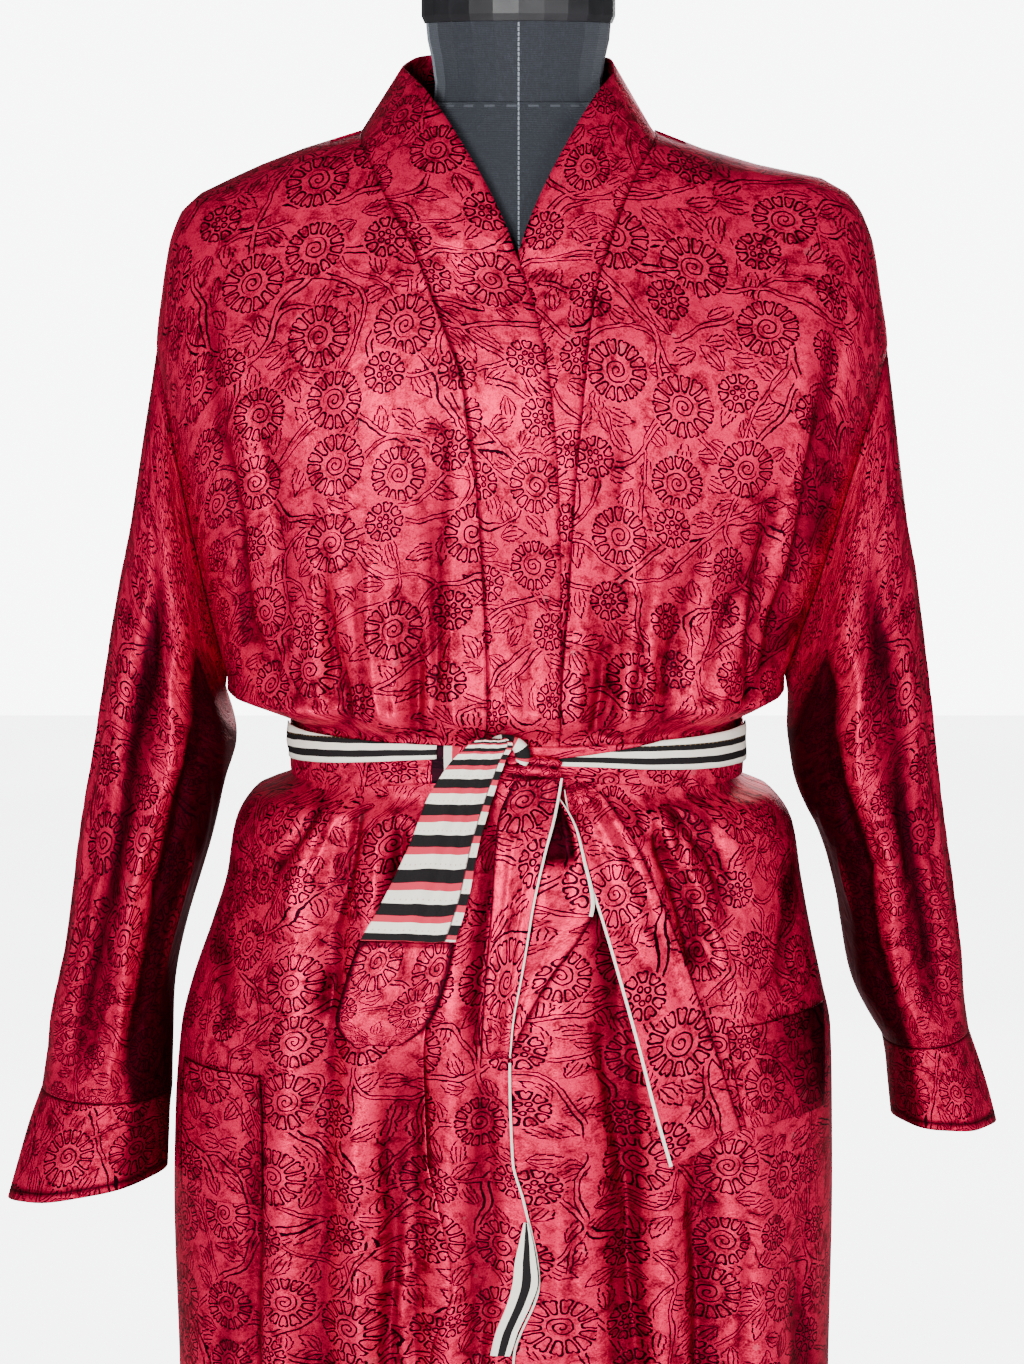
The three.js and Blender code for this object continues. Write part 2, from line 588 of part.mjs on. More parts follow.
// Belt round the waist: heights of its edges go down towards the knot at the front.
const BELT_N = 48;
const BELT_LIFT = OVER + 0.5 + CLOTH;   // over the fronts' overlap
const BELT_EASE = 1.35;                 // room under the belt all round
function beltPoint(a, t) {
  const front = Math.sin(a) < 0;
  const c = Math.cos(a);
  const s = Math.abs(Math.sin(a));
  const x = Math.sign(c) * Math.abs(c) ** (2 / SQUARE) * WAIST_HALF;
  const dip = front ? s ** 6 : 0;
  const z = mix(mix(BELT_LOW_Z, 985, dip), mix(BELT_HIGH_Z, 1008, dip), t);
  const side = front ? 'front' : 'back';
  const deep = read(BODY, 'z', side, WAIST_Z);
  const p = vec(x, (front ? -1 : 1) * s ** (2 / SQUARE) * deep, z);
  const lift = front ? mix(3.2, BELT_LIFT, ease(s * 3)) : mix(3.2, 5, ease(s * 3));
  return p.addScaledVector(outward(side, x, WAIST_Z), lift + BELT_EASE);
}
function belt() {
  const grid = [];
  for (const t of [1, 0.66, 0.33, 0]) {
    const ring = [];
    for (let k = 0; k < BELT_N; k += 1) ring.push(beltPoint((k / BELT_N) * 2 * Math.PI, t));
    grid.push(ring);
  }
  return wall(grid, { loop: true });
}
// Lining side of the belt turned up over its upper half: angles in degrees, share of the height.
function turnUp(fromDeg, toDeg, low1, low2, steps) {
  const grid = [1, 0.5, 0].map((t) => {
    const line = [];
    for (let k = 0; k <= steps; k += 1) {
      const u = k / steps;
      const a = (mix(fromDeg, toDeg, u) * Math.PI) / 180;
      const low = mix(low1, low2, u);
      const p = beltPoint(a, mix(low, 1.02, t));
      line.push(p.addScaledVector(outward('front', p.x, WAIST_Z), CLOTH + SEAM + 0.25));
    }
    return line;
  });
  return wall(grid);
}

// Hanging ends of the belt: centre x, height, half width and lift over the front surface.
const TAILS = {
  belt_tail_right: table(['x', 'z', 'half', 'lift'], [
    [-12, 1013, 11, 24.4], [-24, 1001, 17, 24.4], [-33, 975, 19, 17], [-46, 945, 22, 12],
    [-60, 910, 28, 10], [-72, 882, 31.5, 9.5],
  ]),
  belt_tail_left: table(['x', 'z', 'half', 'lift'], [
    [38, 982, 7, 8.3], [46, 968, 12, 8], [60, 940, 17, 8], [74, 905, 19, 8], [88, 865, 21, 8],
    [102, 820, 22.5, 8], [115, 775, 24, 8], [126, 738, 24.5, 8],
  ]),
};
const TAIL_END = table(['x', 'z', 'half', 'lift'], [
  [-72.6, 881.4, 31.5, 9.5], [-78, 862, 33, 9.8], [-84, 842, 33, 10], [-89, 828, 31, 10], [-92, 818, 24, 10],
  [-93, 812, 15, 10],
]);
function strip(rows, cols, slant) {
  const grid = rows.map((r) => {
    const line = [];
    for (let j = 0; j <= cols; j += 1) {
      const t = (j / cols) * 2 - 1;
      const z = r.z + t * r.half * slant;
      const p = basePoint('front', r.x + t * r.half, z);
      p.y -= r.lift + foldMax(r.x, z);
      line.push(p);
    }
    return line;
  });
  return wall(grid);
}
// The highest fold under a hanging end, so that it clears every ridge.
function foldMax(x, z) {
  let high = 0;
  for (let dx = -36; dx <= 36; dx += 9) {
    for (let dz = -12; dz <= 12; dz += 12) high = Math.max(high, foldHeight('front', x + dx, z + dz));
  }
  return high;
}

// The hanging loop: down its front layer, round the fold, and up its back layer.
const LOOP = table(['x', 'z', 'half', 'lift'], [
  [14, 988.4, 16, 18.6], [7, 965, 19, 19], [2, 940, 17, 18.5], [-3, 905, 14, 18], [-8, 866, 12.5, 18],
  [-12, 835, 10.5, 17.8], [-13.5, 815, 10, 17], [-14, 808, 10, 15], [-13, 812, 11, 13.2],
  [-8, 832, 15, 12.9], [2, 858, 20, 12.9], [16, 884, 26, 12.9], [24, 905, 27, 12.9], [25, 935, 20, 13],
  [25, 962, 13, 13.2], [26, 980, 10, 13.4],
]);

// Knot: a rounded lump of wrapped belt.
const KNOT_AT = vec(-4, -118.1, 1000);
const KNOT_DEEP = 14;
const KNOT_N = 18;
function knot() {
  const rings = [];
  const turns = table(['t', 'rx', 'rz'], [[0, 8, 8], [0.15, 13, 12], [0.4, 16, 14], [0.65, 16, 14],
    [0.88, 13, 11], [1, 7, 6]]);
  for (const r of turns) {
    const ring = [];
    for (let k = 0; k < KNOT_N; k += 1) {
      const a = (k / KNOT_N) * 2 * Math.PI;
      const rib = 1 + 0.05 * Math.cos(3 * a + 0.6);
      const spoke = vec(r.rx * rib * Math.cos(a), -r.t * KNOT_DEEP, r.rz * rib * Math.sin(a));
      ring.push(KNOT_AT.clone().add(spoke));
    }
    rings.push(ring.reverse());
  }
  return lofted(rings.reverse());
}

// Dress form: rings of half width and depth, just inside the cloth at the shoulders.
const FORM = table(['z', 'half', 'front', 'back'], [
  [1427, 57, 59, 59], [1420, 64, 62, 62], [1407.5, 82, 66, 69], [1400.8, 100, 70, 74.5],
  [1393, 122, 74.5, 79.5],
  [1385, 145, 79.5, 84], [1375, 164, 84, 88], [1361, 177, 89, 92], [1335, 181, 95, 93], [1300, 182, 107, 98],
  [1255, 178, 120, 102], [1215, 172, 125, 102], [1170, 162, 122, 99], [1110, 146, 110, 92.8],
  [1050, 134, 101, 84.8], [1000, 130, 98, 80], [950, 142, 104, 90], [900, 158, 112, 106],
  [850, 169, 117, 118],
  [800, 173, 118, 123], [775, 172, 117, 122], [FORM_LOW_Z, 166, 112, 117],
]);
const FORM_N = 24;
const ellipseRing = (z, half, front, back, power, n, cx = 0) => {
  const ring = [];
  for (let k = 0; k < n; k += 1) {
    const a = (k / n) * 2 * Math.PI;
    const c = Math.cos(a);
    const s = Math.sin(a);
    ring.push(vec(cx + half * Math.sign(c) * Math.abs(c) ** (2 / power),
      (s < 0 ? front : back) * Math.sign(s) * Math.abs(s) ** (2 / power), z));
  }
  return ring;
};
const FORM_SQUARE = 2.3;
const formRing = (r) => ellipseRing(r.z, r.half, r.front, r.back, FORM_SQUARE, FORM_N);
const formTorso = () => lofted(FORM.map(formRing).reverse());
const NECK = table(['z', 'half', 'deep'], [
  [1427 + SEAM, 57, 59], [1440, 56, 58], [1455, 58, 59], [1468, 61, 61], [1479, 62, 62],
]);
const formNeck = () => lofted(NECK.map((r) => ellipseRing(r.z, r.half, r.deep, r.deep, 2, FORM_N, 1)));
const CAP = table(['z', 'half'], [[1479 + SEAM, 63], [1484, 65], [CAP_TOP_Z - 5, 65], [CAP_TOP_Z, 60]]);
const formCap = () => lofted(CAP.map((r) => ellipseRing(r.z, r.half, r.half, r.half, 2, FORM_N, 1)));
const BASE = table(['z', 'r'], [[0, BASE_R - 2], [2, BASE_R], [BASE_H - 6, BASE_R], [BASE_H, BASE_R - 8]]);
const standBase = () => lofted(BASE.map((r) => ellipseRing(r.z, r.r, r.r, r.r, 2, 40)));
const POLE = table(['z', 'r'], [[BASE_H + SEAM, POLE_R + 16], [BASE_H + 12, POLE_R + 14],
  [BASE_H + 22, POLE_R], [FORM_LOW_Z - SEAM, POLE_R]]);
const standPole = () => lofted(POLE.map((r) => ellipseRing(r.z, r.r, r.r, r.r, 2, 24)));

const COLOURS = { cloth: 0xa81238, lining: 0xefe6d0, form: 0x23262e, stand: 0x1a1a1c };
const PARTS = [
  ['back', 'cloth', () => backPanel(22)],
  ['front_right', 'cloth', () => frontPanel(true, 19)],
  ['front_left', 'cloth', () => frontPanel(false, 19)],
  ['sleeve_right', 'cloth', () => sleeve('right')],
  ['sleeve_left', 'cloth', () => sleeve('left')],
  ['cuff_right', 'cloth', () => cuff('right')],
  ['cuff_left', 'cloth', () => cuff('left')],
  ['neckband', 'cloth', () => neckband()],
  ['pocket_right', 'cloth', () => patch(POCKETS.right, 7, POCKET_LIFT)],
  ['pocket_left', 'cloth', () => patch(POCKETS.left, 7, POCKET_LIFT)],
  ['facing_right', 'lining', () => patch(FACING, 3, POCKET_LIFT - SEAM)],
  ['belt', 'cloth', () => belt()],
  ['belt_turn_right', 'lining', () => turnUp(188, 252, 0.42, 0.5, 12)],
  ['belt_turn_left', 'lining', () => turnUp(277, 352, 0.3, 0.5, 14)],
  ['belt_knot', 'lining', () => knot()],
  ['belt_tail_right', 'lining', () => strip(TAILS.belt_tail_right, 6, 0.02)],
  ['belt_tail_end', 'cloth', () => strip(TAIL_END, 6, 0.02)],
  ['belt_tail_left', 'cloth', () => strip(TAILS.belt_tail_left, 6, 0.42)],
  ['belt_loop', 'cloth', () => strip(LOOP, 5, 0.05)],
  ['form_torso', 'form', formTorso],
  ['form_neck', 'form', formNeck],
  ['form_cap', 'form', formCap],
  ['stand_base', 'stand', standBase],
  ['stand_pole', 'stand', standPole],
];

const group = new THREE.Group();
for (const [name, slot, make] of PARTS) {
  const material = new THREE.MeshStandardMaterial({ color: COLOURS[slot], roughness: 0.6 });
  const mesh = new THREE.Mesh(make(), material);
  mesh.name = name;
  group.add(mesh);
}
export default group;
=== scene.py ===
import math
from functools import lru_cache
from itertools import accumulate

import bmesh
import bpy
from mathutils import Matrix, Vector, noise


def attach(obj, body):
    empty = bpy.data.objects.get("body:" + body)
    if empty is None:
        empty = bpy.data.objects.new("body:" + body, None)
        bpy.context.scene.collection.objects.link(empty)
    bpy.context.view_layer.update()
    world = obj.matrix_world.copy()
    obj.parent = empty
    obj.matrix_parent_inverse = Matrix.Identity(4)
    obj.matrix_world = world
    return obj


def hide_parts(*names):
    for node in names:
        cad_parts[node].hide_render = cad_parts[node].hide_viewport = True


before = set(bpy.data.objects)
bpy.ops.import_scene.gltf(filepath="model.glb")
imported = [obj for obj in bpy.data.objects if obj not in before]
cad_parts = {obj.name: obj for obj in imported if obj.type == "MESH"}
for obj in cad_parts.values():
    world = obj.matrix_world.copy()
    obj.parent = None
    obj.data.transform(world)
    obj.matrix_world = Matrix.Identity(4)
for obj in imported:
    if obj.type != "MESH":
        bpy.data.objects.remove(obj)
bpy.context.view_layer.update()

MM = 0.001
CLOTH_WALL = 0.0010

# Where each piece lies on the printed cloth, in metres along it, so that no two show the same stretch
BACK_AT, SLEEVE_AT, CUFF_AT, BAND_AT, PATCH_AT, BELT_AT, KNOT_PRINT_AT = 0.7, 1.1, 1.9, 2.3, 3.1, 4.1, 6

# ---------------------------------------------------------------- sizes shared with the solids (mm)
HEM_Z, ARM_TOP_Z, ARM_LOW_Z, ARM_DEEP = 242.0, 1264.0, 1040.0, 38.0
NECK_Z, SQUARE, OVER = 1409.0, 2.4, 3.7
ARM_TOP_X, ARM_LOW_X = {-1: 244, 1: 251}, {-1: 199, 1: 184}  # right and left end of each armhole
NECK_X = {-1: 104, 1: 93}  # shoulder seam's neck end, right and left
CROSSING_Z = 1324  # where the two halves of the neckband meet
WAIST_Z, BELT_HALF = 993, 151
BELT_ROUND, BELT_WIDE = 0.83, 0.034  # in metres


def table(names, rows):
    keys = names.split()
    return [dict(zip(keys, row)) for row in rows]


BODY = table("z right left front back", [
    (1409, 104, 93, 74, 77), (1397, 143, 124, 79, 83), (1386, 172, 162, 84, 88), (1377, 192, 205, 88, 92),
    (1367, 213, 223, 92, 96), (1355, 226, 232, 97, 100), (1335, 234, 240, 105, 104),
    (1300, 240, 246, 118, 109), (1264, 244, 251, 128, 112), (1220, 236, 238, 133, 112),
    (1180, 229, 227, 132, 111), (1120, 216, 209, 126, 106), (1075, 207, 195, 121, 101),
    (1040, 199, 184, 121, 98), (1030, 199, 184, 123, 98), (1021, 178, 170, 120, 95),
    (1014, 157, 156, 113, 90), (1010, 151, 150, 111, 88), (974, 151, 150, 111, 88),
    (967, 160, 155, 114, 92), (958, 182, 176, 119, 100), (936, 195, 191, 125, 112),
    (900, 201, 197, 130, 124), (868, 211, 203, 132, 132), (822, 227, 213, 134, 138),
    (793, 234, 219, 134, 140), (735, 239, 221, 133, 139), (662, 241, 222, 132, 136),
    (541, 239, 221, 132, 134), (400, 239, 223, 134, 134), (HEM_Z, 242, 227, 137, 138),
])
EDGES = table("z rightSeam rightFree leftSeam leftFree", [
    (1409, -104, -77, 93, 64), (1380, -92.5, -30, 78, 26), (1354, -79, -16, 67, 10),
    (1331, -66, -2.7, 59, -2.7), (1318, -61, 4, 54, -5), (1288, -49.6, 13, 48, -9),
    (1250, -36, 20.5, 44, -12), (1217, -31.6, 24, 41, -15), (1176, -26, 26.5, 37.5, -18),
    (1117, -22.5, 28, 34.5, -22), (1040, -19.7, 28.2, 29, -28), (1000, -22, 27, 27, -30),
    (940, -38, 18, 6, -46), (860, -55, 4, -10, -62), (794, -62, -4, -12, -64), (731, -60, -2, -12, -64),
    (703, -53, 5.4, -12, -64), (647, -43, 15.5, -12, -64), (595, -58, -1.3, -12, -64),
    (500, -62, -4, -13, -65), (HEM_Z, -60, -2, -13, -65),
])
FOLDS = {
    "front": table("x1 z1 x2 z2 wide high", [
        (-122, 1120, -118, 1008, 13, -6), (-96, 1150, -88, 1008, 12, 5), (-70, 1130, -66, 1008, 11, -6),
        (62, 1135, 54, 1008, 12, -6), (84, 1170, 76, 1008, 12, 5), (116, 1150, 100, 1008, 13, -6),
        (142, 1110, 128, 1008, 11, 4), (-150, 1105, -140, 1008, 11, 4), (-72, 982, -84, 860, 12, -7),
        (-92, 980, -112, 700, 16, 6), (-118, 982, -138, 560, 17, -8), (-146, 960, -172, 420, 17, 6),
        (-70, 830, -82, HEM_Z, 15, -11), (-106, 780, -112, HEM_Z, 16, 8), (-40, 900, -50, HEM_Z, 16, 6),
        (30, 880, 40, HEM_Z, 17, 6), (66, 950, 84, HEM_Z, 15, -10), (96, 940, 112, HEM_Z, 15, 7),
        (104, 975, 128, 860, 12, -7), (122, 760, 146, HEM_Z, 16, -9), (150, 900, 176, HEM_Z, 16, 6),
        (-176, 820, -196, HEM_Z, 14, -6),
    ]),
    "back": table("x1 z1 x2 z2 wide high", [
        (-120, 1110, -112, 1008, 13, -6), (-84, 1130, -78, 1008, 13, 5), (-46, 1140, -42, 1008, 13, -6),
        (0, 1120, 0, 1008, 14, 5), (44, 1135, 40, 1008, 13, -6), (88, 1125, 80, 1008, 13, 5),
        (124, 1105, 114, 1008, 13, -6), (-108, 980, -150, HEM_Z, 18, -9), (-66, 980, -92, HEM_Z, 18, 7),
        (-24, 976, -36, HEM_Z, 17, -9), (18, 980, 26, HEM_Z, 18, 7), (60, 978, 84, HEM_Z, 17, -9),
        (104, 980, 146, HEM_Z, 18, 7),
    ]),
}
# Finer creases laid one by one: both ends, half width, height (+ ridge, - trough)
CREASES = {
    "front": table("x1 z1 x2 z2 wide high", [
        # soft tension lines over the chest
        (-96, 1318, -6, 1309, 4.5, 1.6), (-96, 1309, -10, 1299, 5, -1.8), (12, 1306, 66, 1315, 4.5, 1.5),
        (10, 1296, 70, 1304, 5, -1.6), (-150, 1300, -96, 1310, 6, -1.4), (66, 1310, 128, 1300, 6, -1.4),
        # drag lines from the shoulders to the sides
        (-206, 1330, -190, 1120, 9, -3.4), (-186, 1300, -172, 1090, 8, 2.6), (214, 1330, 196, 1110, 9, -3.6),
        (192, 1300, 176, 1080, 8, 2.6), (-165, 1230, -150, 1060, 7, -2.2), (168, 1220, 152, 1060, 7, -2.4),
        (-128, 1210, -110, 1040, 6, 1.6), (132, 1200, 112, 1040, 6, 1.6), (-60, 1230, -52, 1060, 6, -1.5),
        (72, 1240, 62, 1060, 6, -1.5), (-108, 1130, -102, 1010, 4, -2.6), (-84, 1110, -80, 1010, 4, 2.2),
        (-56, 1100, -54, 1010, 4, -2.2), (-42, 1140, -40, 1010, 4, 1.8), (-134, 1090, -128, 1010, 4, 2.4),
        (46, 1120, 42, 1010, 4, 2.2), (70, 1115, 64, 1010, 4, -2.2), (96, 1120, 88, 1010, 4, -2.2),
        (128, 1090, 118, 1010, 4, 2.2), (10, 1140, 6, 1012, 4, -1.2),
        # gathers and long drops below the belt
        (-60, 978, -66, 900, 4, -2.6), (-84, 978, -94, 890, 4, 2.4), (-106, 978, -120, 880, 4.5, -2.6),
        (-130, 974, -152, 880, 5, 2.6), (60, 978, 66, 900, 4, -2.4), (84, 978, 98, 880, 4.5, 2.4),
        (120, 976, 146, 880, 5, -2.8), (136, 970, 166, 880, 5, 2.4), (-24, 940, -32, 560, 7, -2.6),
        (-122, 640, -130, 250, 8, -3.5), (56, 700, 60, 250, 7, 3), (106, 620, 112, 250, 7, -3),
        (20, 760, 22, 300, 6, -2.6), (-150, 560, -156, 250, 8, 3), (-202, 700, -210, 250, 9, -4),
        (196, 720, 200, 250, 9, -4), (174, 640, 180, 250, 7, 3), (-98, 560, -96, 250, 5, 2.5),
        # deep creases beside the arms, over the belt and down the skirt
        (-196, 1225, -176, 1050, 6, -5), (200, 1225, 170, 1050, 6, -6), (178, 1190, 150, 1046, 5, -4),
        (-96, 1075, -92, 1011, 3.5, -4), (-68, 1080, -66, 1011, 3.5, -4), (58, 1085, 54, 1011, 3.5, -4),
        (84, 1080, 78, 1011, 3.5, -4), (-118, 1070, -112, 1011, 3.5, -3.6), (-86, 830, -88, 300, 5, -6),
        (-76, 760, -70, 250, 5, 4), (74, 830, 92, 300, 5, -6), (118, 720, 138, 430, 5, -5),
        (-56, 960, -62, 860, 3.5, -4), (-76, 966, -92, 840, 4, -4.5), (92, 972, 116, 850, 4, -5),
        (110, 966, 140, 846, 4, 3.6), (34, 840, 40, 420, 5, -4.5), (-28, 760, -34, 330, 5, -4.5),
        (-206, 880, -196, 800, 8, -4), (188, 930, 176, 830, 7, -4),
        # gathers that stand out over the belt and at its two ends
        (-131, 1135, -117, 1030, 4.5, -4.5), (-138, 1130, -126, 1034, 4.5, 3), (-92, 1125, -81, 1018, 4.5, -4.5),
        (-99, 1120, -89, 1020, 4, 3), (-185, 1088, -134, 1026, 5, -5), (-192, 1070, -142, 1020, 5, 3.5),
        (-170, 1110, -122, 1034, 4.5, 2.5), (-160, 1100, -126, 1020, 4, -3.5), (89, 1140, 78, 1022, 4.5, -4.5),
        (97, 1130, 86, 1022, 4, 3), (127, 1160, 99, 1036, 4.5, -4.5), (160, 1138, 114, 1022, 5, -5),
        (168, 1130, 124, 1022, 4.5, 3.2), (204, 1100, 147, 1022, 5, -4.5), (206, 1080, 152, 1016, 4, 3),
        (-51, 1250, -50, 1030, 5, -2.6),
        # gathers below the belt and drops of the skirt
        (-120, 980, -172, 908, 4.5, -5), (-101, 978, -117, 900, 4, -4.5), (-110, 978, -140, 905, 4, 3),
        (72, 976, 116, 905, 4.5, -4.5), (94, 978, 149, 900, 4.5, -5), (84, 976, 130, 900, 4, 3),
        (54, 840, 74, 690, 5, -5.5), (-16, 805, -22, 560, 5, -5), (-182, 720, -180, 540, 6, -4.5),
        (-104, 700, -100, 470, 5, 3.5), (100, 640, 118, 470, 5, -4.5), (150, 740, 160, 520, 5, -4),
        (4, 848, 46, 904, 5, -5), (-122, 860, -126, 822, 5, -4), (-13, 984, -24, 800, 6, -6),
        (-96, 868, -122, 806, 5, -4), (-60, 868, -62, 812, 4, -4),
    ]),
    "back": table("x1 z1 x2 z2 wide high", [
        (-150, 1290, -60, 1310, 7, -1.8), (60, 1310, 150, 1290, 7, -1.8), (-190, 1310, -176, 1100, 9, -3),
        (200, 1310, 180, 1100, 9, -3), (-150, 1200, -136, 1050, 6, 1.8), (152, 1190, 136, 1050, 6, -1.8),
        (-104, 1110, -98, 1010, 4, 2.4), (-64, 1100, -60, 1010, 4, -2.4), (-22, 1105, -20, 1010, 4, -2.2),
        (22, 1100, 20, 1010, 4, 2.2), (66, 1105, 60, 1010, 4, -2.4), (106, 1100, 98, 1010, 4, 2.2),
        (-84, 978, -96, 860, 5, -2.6), (-44, 978, -50, 850, 5, 2.4), (0, 978, 0, 850, 5, -2.4),
        (40, 978, 48, 860, 5, -2.4), (84, 978, 100, 870, 5, 2.4), (-120, 640, -124, 250, 8, 3),
        (-60, 600, -62, 250, 8, -3), (4, 640, 4, 250, 8, 3), (74, 600, 78, 250, 8, 3), (128, 620, 134, 250, 8, -3.4),
        (-196, 720, -204, 250, 9, -4), (190, 720, 198, 250, 9, 3),
    ]),
}


# ---------------------------------------------------------------- shape of the worn robe
def clamp01(t):
    return 0.0 if t < 0 else 1.0 if t > 1 else t


def mix(a, b, t):
    return a + (b - a) * t


def ease(t):
    t = clamp01(t)
    return t * t * (3 - 2 * t)


def sign_of(v):
    return -1.0 if v < 0 else 1.0


def running(points, gap):
    """Length run along a line of points, at each of them. gap measures two neighbours."""
    return [0.0, *accumulate(gap(a, b) for a, b in zip(points, points[1:]))]


def apart(a, b):
    return (b - a).length


def read(rows, key, name, at):
    """The table's value at a place between its rows, joined smoothly without overshoot."""
    n = len(rows)
    down = rows[0][key] > rows[-1][key]
    past = (lambda v, w: v >= w) if down else (lambda v, w: v <= w)
    if past(at, rows[0][key]):
        return rows[0][name]
    if not past(at, rows[-1][key]):
        return rows[-1][name]
    i = 0
    while i < n - 2 and not past(at, rows[i + 1][key]):
        i += 1
    a, b = rows[i], rows[i + 1]
    h = b[key] - a[key]

    def slope(k):
        if k <= 0 or k >= n - 1:
            return 0.0
        left = (rows[k][name] - rows[k - 1][name]) / (rows[k][key] - rows[k - 1][key])
        right = (rows[k + 1][name] - rows[k][name]) / (rows[k + 1][key] - rows[k][key])
        return 0.0 if left * right <= 0 else 2 * left * right / (left + right)

    t = (at - a[key]) / h
    s2, s3 = t * t, t * t * t
    return (a[name] * (2 * s3 - 3 * s2 + 1) + b[name] * (3 * s2 - 2 * s3)
            + h * (slope(i) * (s3 - 2 * s2 + t) + slope(i + 1) * (s3 - s2)))


@lru_cache(maxsize=200000)
def look(which, name, z):
    return read(BODY if which == "body" else EDGES, "z", name, z)


def half_width(x, z):
    return look("body", "right" if x < 0 else "left", z)


def arm_x(sign, z):
    t = clamp01((z - ARM_LOW_Z) / (ARM_TOP_Z - ARM_LOW_Z))
    return sign * mix(ARM_LOW_X[sign], ARM_TOP_X[sign], t)


def arm_deep(z):
    u = (z - (ARM_TOP_Z + ARM_LOW_Z) / 2) / ((ARM_TOP_Z - ARM_LOW_Z) / 2)
    return math.sqrt(1 - u * u) * ARM_DEEP if abs(u) < 1 else 0.0


def fold_height(side, x, z):
    total = 0.0
    for f in FOLDS[side]:
        if z > f["z1"] or z < f["z2"] - 1:
            continue
        t = clamp01((f["z1"] - z) / (f["z1"] - f["z2"]))
        u = (x - mix(f["x1"], f["x2"], t)) / f["wide"]
        if abs(u) > 2.6:
            continue
        into = ease((f["z1"] - z) / 70)
        out = 1.0 if f["z2"] <= HEM_Z else ease((z - f["z2"] + 16) / 35)
        total += f["high"] * into * out * math.exp(-u * u)
    return total * (1 - 0.86 * math.exp(-(((z - WAIST_Z) / 19) ** 4)))


def crease_height(side, x, z):
    total = 0.0
    for c in CREASES[side]:
        dx, dz = c["x2"] - c["x1"], c["z2"] - c["z1"]
        long = math.hypot(dx, dz)
        along = ((x - c["x1"]) * dx + (z - c["z1"]) * dz) / long
        if along < 0 or along > long:
            continue
        off = ((x - c["x1"]) * dz - (z - c["z1"]) * dx) / long
        off += 2.2 * math.sin(along / 27.0 + c["x1"])
        u = off / c["wide"]
        if abs(u) > 2.4:
            continue
        ends = ease(along / (0.3 * long)) * (1.0 if c["z2"] <= 252 else ease((long - along) / (0.2 * long)))
        total += c["high"] * ends * math.exp(-u * u)
    drape = noise.noise(Vector((x / 46, z / 120, 3.0 if side == "front" else 9.0))) * 2.2
    ripple = noise.noise(Vector((x / 15, z / 44, 5.0 if side == "front" else 7.0))) * 0.55
    near_belt = 1 - 0.9 * math.exp(-(((z - 992) / 20) ** 4))
    return (total + drape + ripple) * near_belt


def outward(side, x, z):
    deep = look("body", side, z)
    half = half_width(x, z) + 2
    u = min(0.999, abs(x) / half)
    nx = sign_of(x) * u ** (SQUARE - 1) / half
    ny = (-1 if side == "front" else 1) * (1 - u ** SQUARE) ** ((SQUARE - 1) / SQUARE) / deep
    return Vector((nx, ny, 0)).normalized()


def base_point(side, x, z):
    deep = look("body", side, z)
    half = half_width(x, z)
    if ARM_LOW_Z < z < ARM_TOP_Z:
        half = abs(arm_x(sign_of(x), z)) / (1 - (arm_deep(z) / deep) ** SQUARE) ** (1 / SQUARE)
    c = (1 - min(1.0, abs(x) / half) ** SQUARE) ** (1 / SQUARE)
    return Vector((x, (-1 if side == "front" else 1) * deep * c, z))


TROUGH = 1.35  # troughs are laid this much deeper than drawn in the tables


@lru_cache(maxsize=400000)
def cloth_high(side, x, z, fine=1.0):
    """Folds and creases together, fading out at the side seams."""
    fade = 1 - ease((abs(x) / half_width(x, z) - 0.86) / 0.12)
    high = fold_height(side, x, z) + fine * crease_height(side, x, z)
    return high * fade * (TROUGH if high < 0 else 1)


def skin(side, x, z, lift=0.0, fine=1.0):
    return base_point(side, x, z) + outward(side, x, z) * (lift + cloth_high(side, x, z, fine))


def skin_painted_shade(side, x, z):
    """Painted shade in mm: darker in the troughs and where a sleeve hangs close, lighter on the ridges."""
    # painted shade between the sleeve and the body
    sleeve_shade = ease((abs(x) / half_width(x, z) - 0.84) / 0.14) * ease((1270 - z) / 80)
    high = 0.7 * fold_height(side, x, z) + 1.5 * crease_height(side, x, z)
    return max(-4.6, high) - 2.2 * sleeve_shade


def upper_lift(x):
    return OVER * ease((x + 190) / 110)


# ---------------------------------------------------------------- the body grid
def ridge_points(sign):
    name = "right" if sign < 0 else "left"
    pts = [(0.0, NECK_Z + 19)]
    pts += [(r[name], r["z"]) for r in BODY if ARM_TOP_Z <= r["z"] <= NECK_Z]
    return pts, running(pts, math.dist)


RIDGES = {s: ridge_points(s) for s in (-1, 1)}


def ridge(sign, share):
    pts, run = RIDGES[int(sign)]
    want = share * run[-1]
    i = 1
    while i < len(pts) - 1 and run[i] < want:
        i += 1
    t = (want - run[i - 1]) / (run[i] - run[i - 1])
    return sign * mix(pts[i - 1][0], pts[i][0], t), mix(pts[i - 1][1], pts[i][1], t)


def around(s):
    return math.sin(s * math.pi / 2) ** (2 / SQUARE)


def grid_xz(s, v):
    """Place of signed share s at row v: 0 to 1 from the ridge to the underarm, 1 to 2 down to the hem."""
    sign, a = sign_of(s), abs(s)
    if v <= 1:
        rx, rz = ridge(sign, a)
        ax = sign * ARM_LOW_X[sign] * mix(a, around(a), v)
        z = mix(rz, ARM_LOW_Z, v)
        return (arm_x(sign, z), z) if a > 0.9999 else (mix(rx, ax, v), z)
    z = mix(ARM_LOW_Z, HEM_Z, v - 1)
    return sign * half_width(sign, z) * around(a), z


HALVINGS = 26


